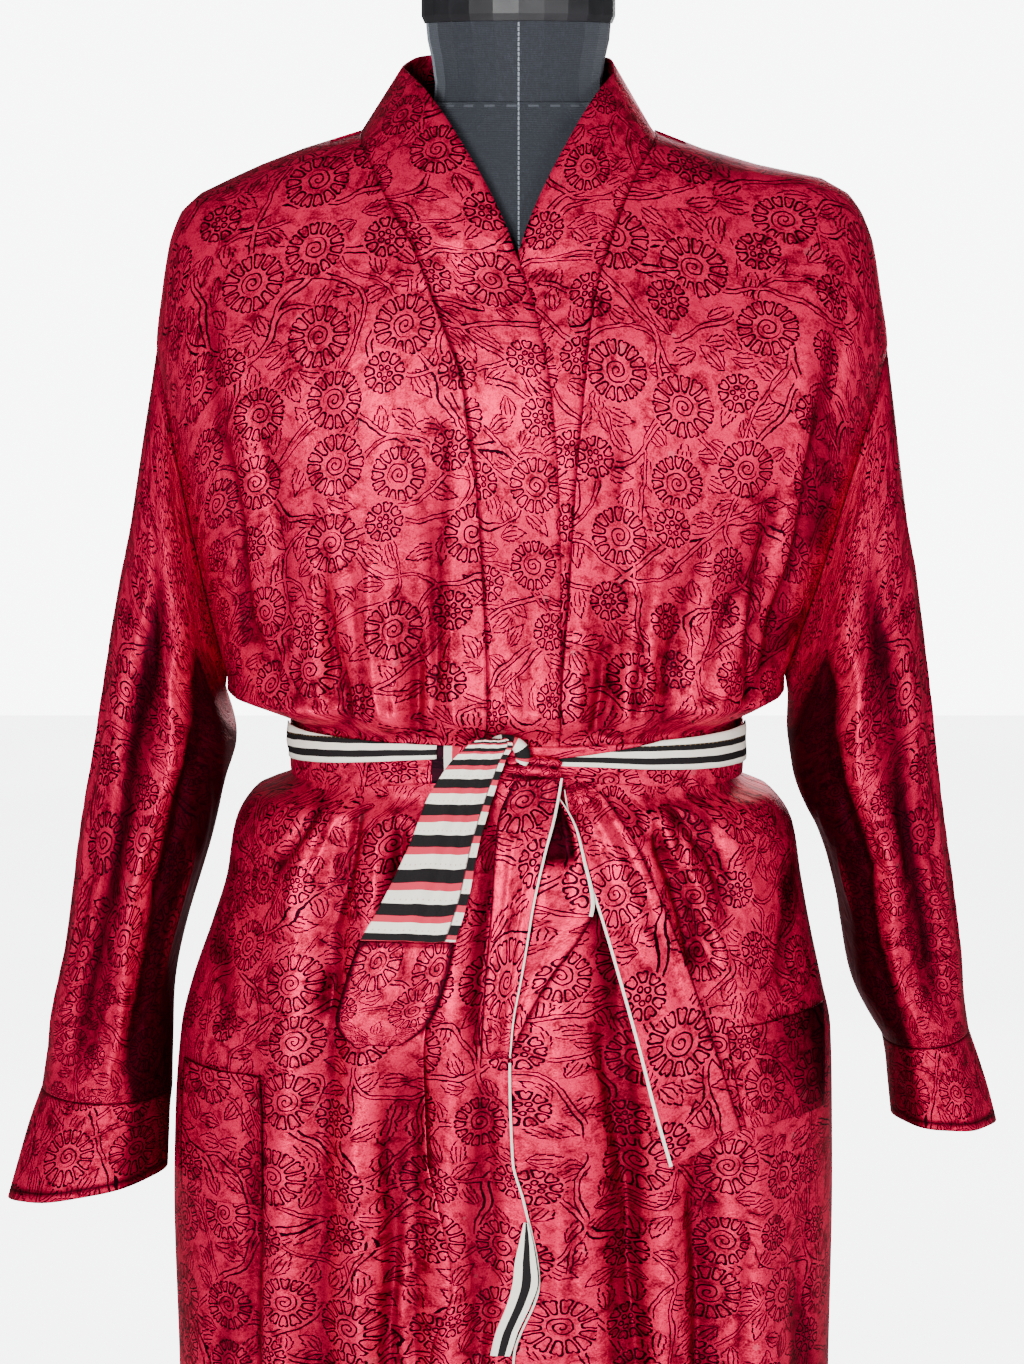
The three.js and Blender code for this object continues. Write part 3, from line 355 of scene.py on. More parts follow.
@lru_cache(maxsize=4096)
def seam_share(name, v):
    """Share across a row where a front's seam with the neckband lies."""
    sign = -1 if name == "rightSeam" else 1
    if v <= 0:
        lo, hi = 0.0, 1.0
        for _ in range(HALVINGS):
            m = (lo + hi) / 2
            lo, hi = (m, hi) if abs(ridge(sign, m)[0]) < NECK_X[sign] else (lo, m)
        return sign * hi
    lo, hi = -0.95, 0.95
    for _ in range(HALVINGS):
        m = (lo + hi) / 2
        x, z = grid_xz(m, v)
        lo, hi = (m, hi) if x < look("edges", name, round(z, 3)) else (lo, m)
    return (lo + hi) / 2


def row_values(upper, lower):
    """Rows of the body grid: crowded at the shoulder ridge and at the belt."""
    top = [(i / upper) ** 1.7 for i in range(upper + 1)]
    drop = ARM_LOW_Z - HEM_Z
    zs = [ARM_LOW_Z]
    for z_to, count in ((1024, 5), (1008, 7), (976, 5), (956, 7), (HEM_Z, lower)):
        start = zs[-1]
        zs += [mix(start, z_to, (k + 1) / count) for k in range(count)]
    return top + [1 + (ARM_LOW_Z - z) / drop for z in zs[1:]]


# ---------------------------------------------------------------- cloth pieces
SHADE_SPAN = 14  # mm of height from the deepest painted shade to the brightest painted light
DEEP_SHADE = -9  # height in mm that paints deep shade along stitched and turned edges and into the loop's mouth


def bm_grid(cols, rows, place, flat_uv, loop=False, painted_shade=None):
    """A grid made by Blender's operator, with each corner moved to place(u, v) and its UV in metres.
    The last argument gives each corner's painted shade as a height in mm above (+) or below (-) the plain shape; it
    moves nothing, but darkens the dye there into painted shade, or lightens it a little into painted highlight."""
    bm = bmesh.new()
    uv = bm.loops.layers.uv.new("UVMap")
    deep = bm.verts.layers.float.new("painted_shade")
    bmesh.ops.create_grid(bm, x_segments=cols, y_segments=rows, size=0.5)
    at = {v: (round((v.co.x + 0.5) * cols) / cols, round((v.co.y + 0.5) * rows) / rows) for v in bm.verts}
    for face in bm.faces:
        for corner in face.loops:
            corner[uv].uv = flat_uv(*at[corner.vert])
    for v in bm.verts:
        v.co = place(*at[v]) * MM
        # painted shade and highlight, stored per corner for the robe's materials
        v[deep] = clamp01(0.5 + painted_shade(*at[v]) / SHADE_SPAN) if painted_shade else 0.5
    if loop:
        bmesh.ops.remove_doubles(bm, verts=bm.verts, dist=1e-6)
    return bm


def finish_piece(name, bm, material, slot, outside, node, thick=CLOTH_WALL):
    """Turns a bmesh into a piece on the root body. outside tells which way a face centre should look."""
    bm.normal_update()
    total = sum(f.normal.dot(outside(f.calc_center_median())) * f.calc_area() for f in bm.faces)
    if total < 0:
        bmesh.ops.reverse_faces(bm, faces=bm.faces)
    mesh = bpy.data.meshes.new(name)
    bm.to_mesh(mesh)
    bm.free()
    for face in mesh.polygons:
        face.use_smooth = True
    obj = bpy.data.objects.new(name, mesh)
    bpy.context.scene.collection.objects.link(obj)
    mesh.materials.append(material)
    if thick:
        wall = obj.modifiers.new("Cloth thickness", "SOLIDIFY")
        wall.thickness = thick
        wall.offset = -1
        wall.use_even_offset = False
    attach(obj, "root")
    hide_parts(node)
    return obj


ROW_V = row_values(34, 150)
CHEST_STEPS, CHEST_ROW = 60, 0.62


@lru_cache(maxsize=None)
def chest_run(side, sign):
    """Length run round the chest line, from the centre out to one side."""
    return running([base_point(side, *grid_xz(sign * i / CHEST_STEPS, CHEST_ROW)) for i in range(CHEST_STEPS + 1)],
                   apart)


def flat_x(side, s):
    """Flat distance in mm of share s from the centre, measured round the chest line."""
    run = chest_run(side, sign_of(s))
    t = min(CHEST_STEPS - 0.001, abs(s) * CHEST_STEPS)
    return sign_of(s) * mix(run[int(t)], run[int(t) + 1], t - int(t))


@lru_cache(maxsize=None)
def flat_z(side, v):
    """Flat height in metres: down the skirt it is the true height, above it runs on over the shoulder."""
    if v > 1:
        return mix(ARM_LOW_Z, HEM_Z, v - 1) * MM
    steps = [mix(v, 1, k / 40) for k in range(41)]
    return (ARM_LOW_Z + running([base_point(side, *grid_xz(0.5, t)) for t in steps], apart)[-1]) * MM


def front_panel(is_right, cols):
    name = "rightSeam" if is_right else "leftSeam"
    rows = len(ROW_V) - 1

    def share(u, v):
        seam = seam_share(name, v)
        return mix(-1, seam, u) if is_right else mix(seam, 1, u)

    def place(u, w):
        v = ROW_V[round(w * rows)]
        x, z = grid_xz(share(u, v), v)
        side = u == 0 if is_right else u == 1
        lift = upper_lift(x) * ease((NECK_Z - z) / 60) if is_right and not side else 0
        p = skin("front", x, z, lift)
        if v == 0:
            p = Vector((x, -0.15, z))
        elif side:
            p = Vector((x, -0.15 if v >= 1 else -max(0.15, arm_deep(z)), z))
        else:
            p.y = min(p.y, -0.5)
        return p

    def flat(u, w):
        v = ROW_V[round(w * rows)]
        return flat_x("front", share(u, v)) * MM, flat_z("front", v)

    def painted_shade(u, w):
        v = ROW_V[round(w * rows)]
        # painted shade and highlight from the folds and creases, deeper beside the sleeves
        return skin_painted_shade("front", *grid_xz(share(u, v), v))

    return bm_grid(cols, rows, place, flat, painted_shade=painted_shade)


def neckline(x):
    return NECK_Z - 2 - 4 * (1 - (x / NECK_X[sign_of(x)]) ** 2)


def back_panel(cols):
    rows = len(ROW_V) - 1

    def place(u, w):
        v = ROW_V[round(w * rows)]
        s = mix(1, -1, u)
        x, z = grid_xz(s, v)
        inner = NECK_X[sign_of(x)]
        if abs(x) < inner and v <= 1:
            z = mix(neckline(x), ARM_LOW_Z, v)
        side = u in (0, 1)
        p = skin("back", x, z)
        if v == 0 and abs(x) >= inner:
            p = Vector((x, 0.15, z))
        if side:
            p = Vector((x, 0.15 if v >= 1 else max(0.15, arm_deep(z)), z))
        elif v > 0:
            p.y = max(p.y, 0.5)
        return p

    def flat(u, w):
        v = ROW_V[round(w * rows)]
        return flat_x("back", mix(1, -1, u)) * MM + BACK_AT, flat_z("back", v)

    def painted_shade(u, w):
        v = ROW_V[round(w * rows)]
        # painted shade and highlight from the folds and creases, deeper beside the sleeves
        return skin_painted_shade("back", *grid_xz(mix(1, -1, u), v))

    return bm_grid(cols, rows, place, flat, painted_shade=painted_shade)


# Sleeves and cuffs: outer line, inner line and half depth of each ring
SLEEVES = {
    "right": table("ox oz ix iz deep", [
        (244, ARM_TOP_Z, 199, ARM_LOW_Z, ARM_DEEP), (251, 1222, 201, 1025, 52), (258, 1179, 199, 1012, 62),
        (266, 1134, 195, 1000, 68), (274, 1090, 194.5, 990, 72), (283, 1034, 197, 979, 74),
        (292, 978, 202, 964, 74), (302, 920, 214, 918, 70), (312, 850, 230, 866, 64),
        (322, 806, 238, 826, 58), (328, 776, 240.5, 786, 54), (333, 748, 242, 746, 52)]),
    "left": table("ox oz ix iz deep", [
        (251, ARM_TOP_Z, 184, ARM_LOW_Z, ARM_DEEP), (257, 1222, 187, 1025, 52), (262, 1180, 187, 1010, 62),
        (268, 1134, 187, 996, 68), (274, 1096, 189, 982, 72), (282, 1034, 193, 966, 74),
        (288, 982, 200, 946, 73), (294, 932, 212, 922, 69), (300, 890, 221, 892, 64),
        (306, 856, 227, 860, 59), (311, 822, 236, 820, 55), (316, 790, 256, 783, 51)]),
}
CUFFS = {
    "right": table("ox oz ix iz deep", [(333, 747.7, 242, 745.7, 52), (341, 722, 243, 727, 52),
                                        (349, 695, 244, 709, 51), (357, 668, 245, 690, 51)]),
    "left": table("ox oz ix iz deep", [(316, 789.7, 256, 782.7, 51), (322, 768, 258, 765, 51),
                                       (329, 746, 260, 747, 50), (335, 724, 262, 729, 50)]),
}
SLEEVE_FOLDS = table("angle wide high from_row to_row", [
    (38, 15, 4, 1, 11), (66, 15, -6, 2, 11), (100, 16, 4, 2, 9), (132, 16, -5, 2, 8),
    (215, 17, 4, 2, 11), (248, 16, -6, 2, 10), (290, 17, 4, 2, 11), (322, 15, -4, 3, 11),
])
# Fine creases of the sleeves: angle at both ends, rows, half width in degrees, height
SLEEVE_CREASES = table("a1 r1 a2 r2 wide high", [
    (96, 0.7, 99, 11.6, 4.5, 4.4), (122, 0.9, 120, 11, 11, -4.2), (78, 1.2, 80, 10.8, 8, -2.4),
    (20, 0.6, 16, 11, 4, 2.6), (30, 1.5, 44, 9, 5, -2.2), (56, 0.8, 50, 10.8, 4, 2.2),
    (108, 0.6, 126, 8, 5, -2.2), (118, 3, 150, 9, 5, 2),
    (74, 6.2, 118, 7.6, 5, -2.2), (60, 7.4, 112, 8.8, 5, 2), (150, 5, 176, 8, 6, -2),
    (232, 1, 228, 10.6, 5, 2.4), (262, 1.2, 272, 10, 5, -2.4), (304, 1, 308, 10.8, 5, 2.4),
    (340, 0.8, 344, 10.8, 5, -2.2),
])


def blend_rows(rows, t):
    """The ring a share t along the table, on a smooth curve through its rows."""
    n = len(rows) - 1
    f = min(n - 1e-6, max(0.0, t * n))
    i, w = int(f), f - int(f)
    out = {}
    for key in rows[0]:
        p = [rows[min(n, max(0, i + k))][key] for k in (-1, 0, 1, 2)]
        out[key] = 0.5 * (2 * p[1] + (p[2] - p[0]) * w + (2 * p[0] - 5 * p[1] + 4 * p[2] - p[3]) * w * w
                          + (3 * p[1] - p[0] - 3 * p[2] + p[3]) * w ** 3)
    return out


def ring_point(sign, r, a, high=0.0, shift=0.0):
    u = Vector((sign * (r["ox"] - r["ix"]), 0, r["oz"] - r["iz"]))
    half = u.length / 2
    u.normalize()
    n = u * (math.cos(a) / half) + Vector((0, -math.sin(a) / r["deep"], 0))
    p = Vector((sign * ((r["ox"] + r["ix"]) / 2 + shift), 0, (r["oz"] + r["iz"]) / 2))
    return p + u * half * math.cos(a) + Vector((0, -r["deep"] * math.sin(a), 0)) + n.normalized() * high


def sleeve_high(deg, row, sign):
    total = 0.0
    for f in SLEEVE_FOLDS:
        u = (deg - f["angle"]) / f["wide"]
        total += (f["high"] * math.exp(-u * u) * ease((row - f["from_row"] + 1) / 3)
                  * ease((f["to_row"] - row) / 2))
    for c in SLEEVE_CREASES:
        t = (row - c["r1"]) / (c["r2"] - c["r1"])
        if 0 < t < 1:
            u = (deg - mix(c["a1"], c["a2"], t) + 5 * math.sin(row * 1.7 + c["a1"])) / c["wide"]
            if abs(u) < 2.4:
                total += c["high"] * math.exp(-u * u) * ease(t / 0.3) * ease((1 - t) / 0.2)
    where = Vector((math.cos(math.radians(deg)) * 2.2, math.sin(math.radians(deg)) * 2.2, row * 0.5 + sign * 7))
    return total + noise.noise(where) * 2.0 * ease(row / 2) * ease((11 - row) / 1.5)


def sleeve(side, cols=120, rows=150):
    sign = -1 if side == "right" else 1
    rings = SLEEVES[side]

    def place(u, t):
        r = blend_rows(rings, t)
        deg = u * 360
        row = t * (len(rings) - 1)
        return ring_point(sign, r, u * 2 * math.pi, sleeve_high(deg % 360, row, sign),
                          0.3 if t == 0 else 0.3 * (1 - ease(t * 12)))

    def flat(u, t):
        return u * 0.42, SLEEVE_AT + t * 0.52

    def painted_shade(u, t):
        deg = u * 360 % 360
        # painted shade: the whole sleeve a little darker, more on its inner side towards the body and at its outer
        # edge, plus shade and highlight that follow its folds
        inner = ease((deg - 108 - 5 * math.sin(t * 19)) / 16) * ease((262 - deg) / 50)
        outer = ease((38 - min(deg, 360 - deg)) / 34)
        return 0.7 * sleeve_high(deg, t * (len(rings) - 1), sign) - 4.6 * inner * ease(t * 3) - 2.4 * outer - 2.5

    return bm_grid(cols, rows, place, flat, loop=True, painted_shade=painted_shade)


def cuff(side, cols=120, rows=18):
    sign = -1 if side == "right" else 1
    rings = CUFFS[side]

    def place(u, t):
        deg = u * 2 * math.pi
        flare = 1.1 * ease(t * 3) * math.sin(3 * deg + 1) + 0.9 * ease(t * 2) * math.sin(7 * deg)
        return ring_point(sign, blend_rows(rings, t), deg, flare)

    def painted_shade(u, t):
        deg = u * 360 % 360
        # painted shade: dark lines at the two seams, the inner side towards the body darker, and the whole cuff a
        # little darker
        inner = ease((deg - 108) / 16) * ease((262 - deg) / 50)
        seam = DEEP_SHADE if t < 0.04 or abs(t - 0.89) < 0.03 else 0
        return seam - 4.5 * inner - 1.5

    return bm_grid(cols, rows, place, lambda u, t: (u * 0.33, CUFF_AT + t * 0.07), loop=True, painted_shade=painted_shade)


def sleeve_out(side):
    sign = -1 if side == "right" else 1

    def out(c):
        t = clamp01((1.15 - c.z) / 0.43)
        return Vector((c.x - sign * mix(0.235, 0.297, t), c.y, 0))
    return out


# Neck part of the band, and the stretch between the neck and the crossing
COLLAR = table("sx fx fy fz", [
    (-104, -77, 0, 1451), (-99, -74, 16, 1454), (-86, -67, 36, 1458), (-66, -54, 52, 1460),
    (-36, -32, 63, 1461), (-5, -5, 67, 1462), (26, 22, 65, 1461), (56, 43, 55, 1460), (77, 57, 37, 1458),
    (88, 62, 17, 1457), (93, 64, 0, 1455)])
CHEST = table("sz fz fx fy", [
    (1409, 1448, 74, 8), (1400, 1437, 62, 38), (1390, 1422, 50, 62), (1376, 1401, 36, 82),
    (1360, 1376, 21, 95), (1345, 1352, 9, 103), (1331, 1334, 2.7, 108), (1324, 1324, 2.7, 111)])


def band_line(is_right, v, cols):
    """Points of one row of the band, from its seam to its free edge."""
    sign = -1 if is_right else 1
    seam_x, z = grid_xz(seam_share("rightSeam" if is_right else "leftSeam", v), v)
    sx = seam_x - sign * 0.15
    lift = OVER * ease((NECK_Z - z) / 60) if is_right else 0
    start = skin("front", sx, z, upper_lift(seam_x) * ease((NECK_Z - z) / 60) if is_right else 0)
    line = []
    for j in range(cols + 1):
        t = j / cols
        roll = 0.5 * math.sin(math.pi * min(1.0, t * 9)) if t < 1 / 9 else 0
        if z > CROSSING_Z:
            at = {k: read(CHEST, "sz", k, z) for k in ("fx", "fy", "fz")}
            end = Vector((sign * at["fx"] * (1 if is_right else 0.9), -at["fy"] - lift, at["fz"]))
            p = start.lerp(end, t)
            p.y -= 5 * math.sin(math.pi * t) * ease((1400 - z) / 40) + roll
        else:
            fx = look("edges", "rightFree" if is_right else "leftFree", round(z, 3))
            p = skin("front", mix(sx, fx, t), z, lift + roll) if j else start
        line.append(p)
    return line


def neckband(cols=14):
    """The whole band and its length in mm: up the right front, round the back neck and down the left."""
    right = [band_line(True, v, cols) for v in ROW_V[2:]]
    left = [band_line(False, v, cols) for v in ROW_V[2:]]
    collar = []
    steps = 70
    for i in range(steps + 1):
        r = blend_rows(COLLAR, i / steps)
        seam = Vector((r["sx"], 0, NECK_Z + 0.3))
        if abs(r["sx"]) < NECK_X[sign_of(r["sx"])]:
            seam = skin("back", r["sx"], neckline(r["sx"]), fine=0) + Vector((0, 0, 0.3))
        free = Vector((r["fx"], r["fy"], r["fz"]))
        collar.append([seam.lerp(free, j / cols) for j in range(cols + 1)])
    lines = right[::-1] + collar + left
    rows = len(lines) - 1
    run = running([line[cols // 2] for line in lines], apart)

    def painted_shade(u, w):
        p = lines[round(w * rows)][round(u * cols)]
        # painted shade: a dark line along the seam edge, and the front's own painted shade where the band lies on
        # the front
        seam = -5 if u == 0 else 0
        return seam + (skin_painted_shade("front", p.x, p.z) if p.z < CROSSING_Z and p.y < 0 else 0)

    def place(u, w):
        return lines[round(w * rows)][round(u * cols)]

    def flat(u, w):
        return BAND_AT + 0.058 * (1 - u), run[round(w * rows)] * MM

    return bm_grid(cols, rows, place, flat, painted_shade=painted_shade), run[-1]


# Patches on the fronts, as rows of height and two edges in x
PATCHES = {
    "pocket_right": table("z x1 x2", [(780, -226, -173), (765, -227, -172.5), (745, -228, -172),
                                      (722, -229, -171.5), (700, -229, -171), (688, -228.5, -172)]),
    "pocket_left": table("z x1 x2", [(818, 138, 208), (804, 139.5, 208.5), (788, 142, 209),
                                     (772, 145, 209), (757, 148, 209), (748, 150, 208)]),
    "facing_right": table("z x1 x2", [(690, 4.5, 7.5), (676, 1.5, 11), (662, -1.5, 13.5), (647, -3, 14.5),
                                      (632, -7, 9.5), (614, -14, 1.5), (597, -18, -4)]),
}
PATCH_LIFT = 2.8


def patch(name, cols, rows, lift, gape=0.0):
    """A patch of cloth over a front. gape lets its upper edge stand off the robe a little."""
    marks = PATCHES[name]

    def place(u, w):
        r = blend_rows(marks, w)
        x = mix(r["x1"], r["x2"], u)
        high = lift + gape * (1 - ease(w / 0.25)) * math.sin(math.pi * u) ** 2
        high += upper_lift(x) + 0.3 if x < 30 else 0
        return skin("front", x, r["z"], high, fine=0.7)

    def flat(u, w):
        r = blend_rows(marks, w)
        return PATCH_AT + u * (marks[2]["x2"] - marks[2]["x1"]) * 1.25 * MM, r["z"] * MM

    def painted_shade(u, w):
        r = blend_rows(marks, w)
        # painted shade: a dark line round the patch's edges, and the left pocket painted in shadow
        hem = -7 if w < 0.015 or w > 0.985 or (u < 0.01 or u > 0.99) else 0
        shaded = -4.2 if name == "pocket_left" else 0
        return skin_painted_shade("front", mix(r["x1"], r["x2"], u), r["z"]) + hem + shaded

    return bm_grid(cols, rows, place, flat, painted_shade=painted_shade)


# Belt: a ring about the waist, lower towards the knot
def belt_point(a, t):
    front = math.sin(a) < 0
    c, s = math.cos(a), abs(math.sin(a))
    x = sign_of(c) * abs(c) ** (2 / SQUARE) * BELT_HALF
    dip = s ** 6 if front else 0
    z = mix(mix(975, 985, dip), mix(1009, 1008, dip), t)
    side = "front" if front else "back"
    p = Vector((x, (-1 if front else 1) * s ** (2 / SQUARE) * look("body", side, WAIST_Z), z))
    lift = mix(3.2, OVER + 1.7, ease(s * 3)) if front else mix(3.2, 5, ease(s * 3))
    crush = 0.7 * noise.noise(Vector((math.cos(a) * 9, math.sin(a) * 9, t * 2.2)))
    crush += 0.5 * math.sin(t * 9 + 3 * math.sin(a * 2)) * (1 - (2 * t - 1) ** 4)
    return p + outward(side, x, WAIST_Z) * (lift + 1.35 + crush)


def belt(cols=260, rows=14):
    return bm_grid(cols, rows, lambda u, w: belt_point(u * 2 * math.pi, 1 - w),
                   lambda u, w: (BELT_AT + u * BELT_ROUND, BELT_WIDE * (1 - w)), loop=True)


def turn_up(a1, a2, high1, low1, high2, low2, cols=80, rows=10):
    """The belt's striped side, folded over its face between two angles. The highs and lows are shares of the
    belt's height at the first and the last angle."""
    def place(u, w):
        a = math.radians(mix(a1, a2, u))
        p = belt_point(a, mix(min(1.03, mix(high1, high2, u)), mix(low1, low2, u), w))
        return p + outward("front", p.x, WAIST_Z) * (1.75 + 0.9 * math.sin(math.pi * w))

    def flat(u, w):
        return u * 0.11, (1 - w) * (min(1.03, mix(high1, high2, u)) - mix(low1, low2, u)) * BELT_WIDE

    return bm_grid(cols, rows, place, flat)


# Hanging ends: centre x, height, half width and lift over the front
TAILS = {
    "belt_tail_right": table("x z half lift", [
        (-16, 1016.5, 9, 23.4), (-17.5, 1012, 14.5, 24.6), (-26, 1000, 18, 24), (-37.5, 975, 21.5, 17),
        (-48, 945, 23, 12), (-60, 910, 28, 10), (-72, 882, 31.5, 9.5)]),
    "belt_tail_end": table("x z half lift", [
        (-72.6, 881.4, 31.5, 9.5), (-78, 862, 33, 9.8), (-84, 842, 33, 10), (-89, 828, 31, 10),
        (-92, 818, 24, 10), (-93, 812, 15, 10)]),
    "belt_tail_left": table("x z half lift", [
        (38, 982, 7, 8.3), (46, 968, 12, 8), (60, 940, 17, 8), (74, 905, 19, 8), (88, 865, 21, 8),
        (102, 820, 22.5, 8), (115, 775, 24, 8), (126, 738, 24.5, 8)]),
    "belt_loop": table("x z half lift", [
        (14, 988.4, 16, 18.6), (7, 965, 19, 19), (2, 940, 17, 18.5), (-3, 905, 14, 18), (-8, 866, 12.5, 18),
        (-12, 835, 10.5, 17.8), (-13.5, 815, 10, 17), (-14, 808, 10, 15), (-13, 812, 11, 13.2),
        (-8, 832, 15, 12.9), (2, 858, 20, 12.9), (16, 884, 26, 12.9), (24, 905, 27, 12.9),
        (25, 935, 20, 13), (24.5, 958, 14, 13.2), (20, 976, 7, 13.4)]),
}
TAIL_SLANT = {"belt_tail_right": 0.02, "belt_tail_end": 0.02, "belt_tail_left": 0.42, "belt_loop": 0.05}
# Lengthwise creases of each end: place across (-1 to 1) at the top and the foot, width, height in mm
TAIL_FOLDS = {
    "belt_tail_right": [(-0.5, -0.1, 0.16, -1.6), (0.35, 0.5, 0.14, 2.0), (0.75, 0.8, 0.1, -1.6),
                        (-0.1, 0.2, 0.12, 1.2)],
    "belt_tail_end": [(-0.1, 0.0, 0.2, -1.0), (0.5, 0.4, 0.15, 1.2)],
    "belt_tail_left": [(-0.4, -0.2, 0.2, -1.6), (0.3, 0.1, 0.16, 1.6), (0.7, 0.5, 0.12, -1.2)],
    "belt_loop": [(-0.3, -0.2, 0.2, 1.4), (0.3, 0.4, 0.16, -1.4)],
}


@lru_cache(maxsize=20000)
def fold_max(x, z):
    """Highest fold of the front near a place."""
    spots = [fold_height("front", x + dx, z + dz) for dx in range(-36, 37, 9) for dz in (-12, 0, 12)]
    return max(0.0, *spots)


def tail(name, cols, rows):
    marks = TAILS[name]
    long = running(marks, lambda a, b: math.hypot(b["x"] - a["x"], b["z"] - a["z"], b["lift"] - a["lift"]))[-1]

    @lru_cache(maxsize=None)
    def centre_high(w):
        """How far the folds of the front push the end out at this share of its length."""
        near = [blend_rows(marks, clamp01(w + k * 0.03)) for k in (-2, -1, 0, 1, 2)]
        return sum(fold_max(round(r["x"]), round(r["z"])) for r in near) / len(near)

    def hollow(u, w):
        """How far a corner lies inside the mouth of the loop, 0 to 1; there the cloth is pushed back and painted in
        deep shade.
        """
        if name != "belt_loop":
            return 0.0
        return ease((0.88 - u) / 0.08) * ease((w - 0.85) / 0.03)

    def painted_shade(u, w):
        # painted shade: dark lines along the edges, deep shade at the loop's bend and in its mouth, shade at the top
        # where each end comes out from under the belt, and the end piece a little darker
        rim = min(u, 1 - u) if name != "belt_tail_end" else min(u, 1 - u, 1.5 * (1 - w))
        turned = DEEP_SHADE * (1 - ease(rim / (0.05 if name == "belt_tail_left" else 0.09)))
        turned -= 1.5 if name == "belt_tail_end" else 0
        bend_shade = -4 * math.exp(-((w - 0.47) / 0.03) ** 2) if name == "belt_loop" else 0
        return turned + bend_shade + DEEP_SHADE * hollow(u, w) + (0 if w > 0.05 else -4)

    def place(u, w):
        r = blend_rows(marks, w)
        t = 2 * u - 1
        z = r["z"] + t * r["half"] * TAIL_SLANT[name]
        p = base_point("front", r["x"] + t * r["half"], z)
        high = sum(h * math.exp(-((t - mix(c1, c2, w)) / wide) ** 2) for c1, c2, wide, h in TAIL_FOLDS[name])
        high += 1.2 * noise.noise(Vector((p.x / 16, z / 22, 2.5)))
        p.y -= r["lift"] + centre_high(w) + high - 4 * hollow(u, w)
        return p

    half = sum(r["half"] for r in marks) / len(marks)
    edge = 1 if name == "belt_loop" else 0

    def flat(u, w):
        plain_hem = 0.004 if name == "belt_loop" and 0.48 < w < 0.78 else 0
        return abs(edge - u) * 2 * half * MM + plain_hem, w * long * MM

    return bm_grid(cols, rows, place, flat, painted_shade=painted_shade)


KNOT_AT = Vector((-4, -125.1, 1000))


def knot():
    """The tied lump of printed cloth with a striped fold arching over its right half."""
    bm = bmesh.new()
    uv = bm.loops.layers.uv.new("UVMap")
    deep = bm.verts.layers.float.new("painted_shade")
    lump = bmesh.ops.create_uvsphere(bm, u_segments=72, v_segments=48, radius=1)["verts"]
    for v in lump:
        d = v.co.copy()
        wrap = d.x * 0.5 + d.z * 1.1 + 0.25 * d.y
        high = 0.12 * math.cos(wrap * 5.0 + 1) + 0.05 * noise.noise(d * 2.3)
        k = 1 + high
        v.co = (KNOT_AT + Vector((15 + d.x * 18.5 * k, 1.5 + d.y * 6.5 * k, -6.5 + d.z * 8.5 * k + d.x * 1.5))) * MM
        # painted shade and highlight: the lump a little darker overall, darker in the troughs of its wrapped folds
        # and lighter on their crests
        v[deep] = clamp01(0.45 + high * 3.5)
    printed = set(bm.faces)
    arch = bmesh.ops.create_grid(bm, x_segments=72, y_segments=28, size=0.5)["verts"]
    place = {v: (v.co.x + 0.5, v.co.y + 0.5) for v in arch}
    for v, (u, w) in place.items():
        a = math.radians(mix(175, -28, u))
        ring = 2 * math.pi * w
        thick = mix(6.0, 4.2, u) + 0.7 * math.sin(a * 3 + 1)
        out = 9.8 + thick * math.cos(ring)
        v.co = (KNOT_AT + Vector((-2 + out * math.cos(a), -5.0 + 3 * u - 4.4 * math.sin(ring),
                                  3.5 + out * math.sin(a)))) * MM
        v[deep] = 0.5
    for face in bm.faces:
        face.material_index = 0 if face in printed else 1
        for corner in face.loops:
            if face in printed:
                c = corner.vert.co
                corner[uv].uv = (KNOT_PRINT_AT + c.x * 1.3 + c.y, c.z * 1.3)
            else:
                u, w = place[corner.vert]
                corner[uv].uv = (w * 0.03, u * 0.040)
    bmesh.ops.remove_doubles(bm, verts=arch, dist=1e-6)
    return bm


# ---------------------------------------------------------------- materials
def socket(tree, kind, name, way="INPUT", value=None):
    s = tree.interface.new_socket(name=name, in_out=way, socket_type=kind)
    if value is not None:
        s.default_value = value
    return s


def maths(op):
    return lambda wires, a, b=None: wires.math(op, a, b)


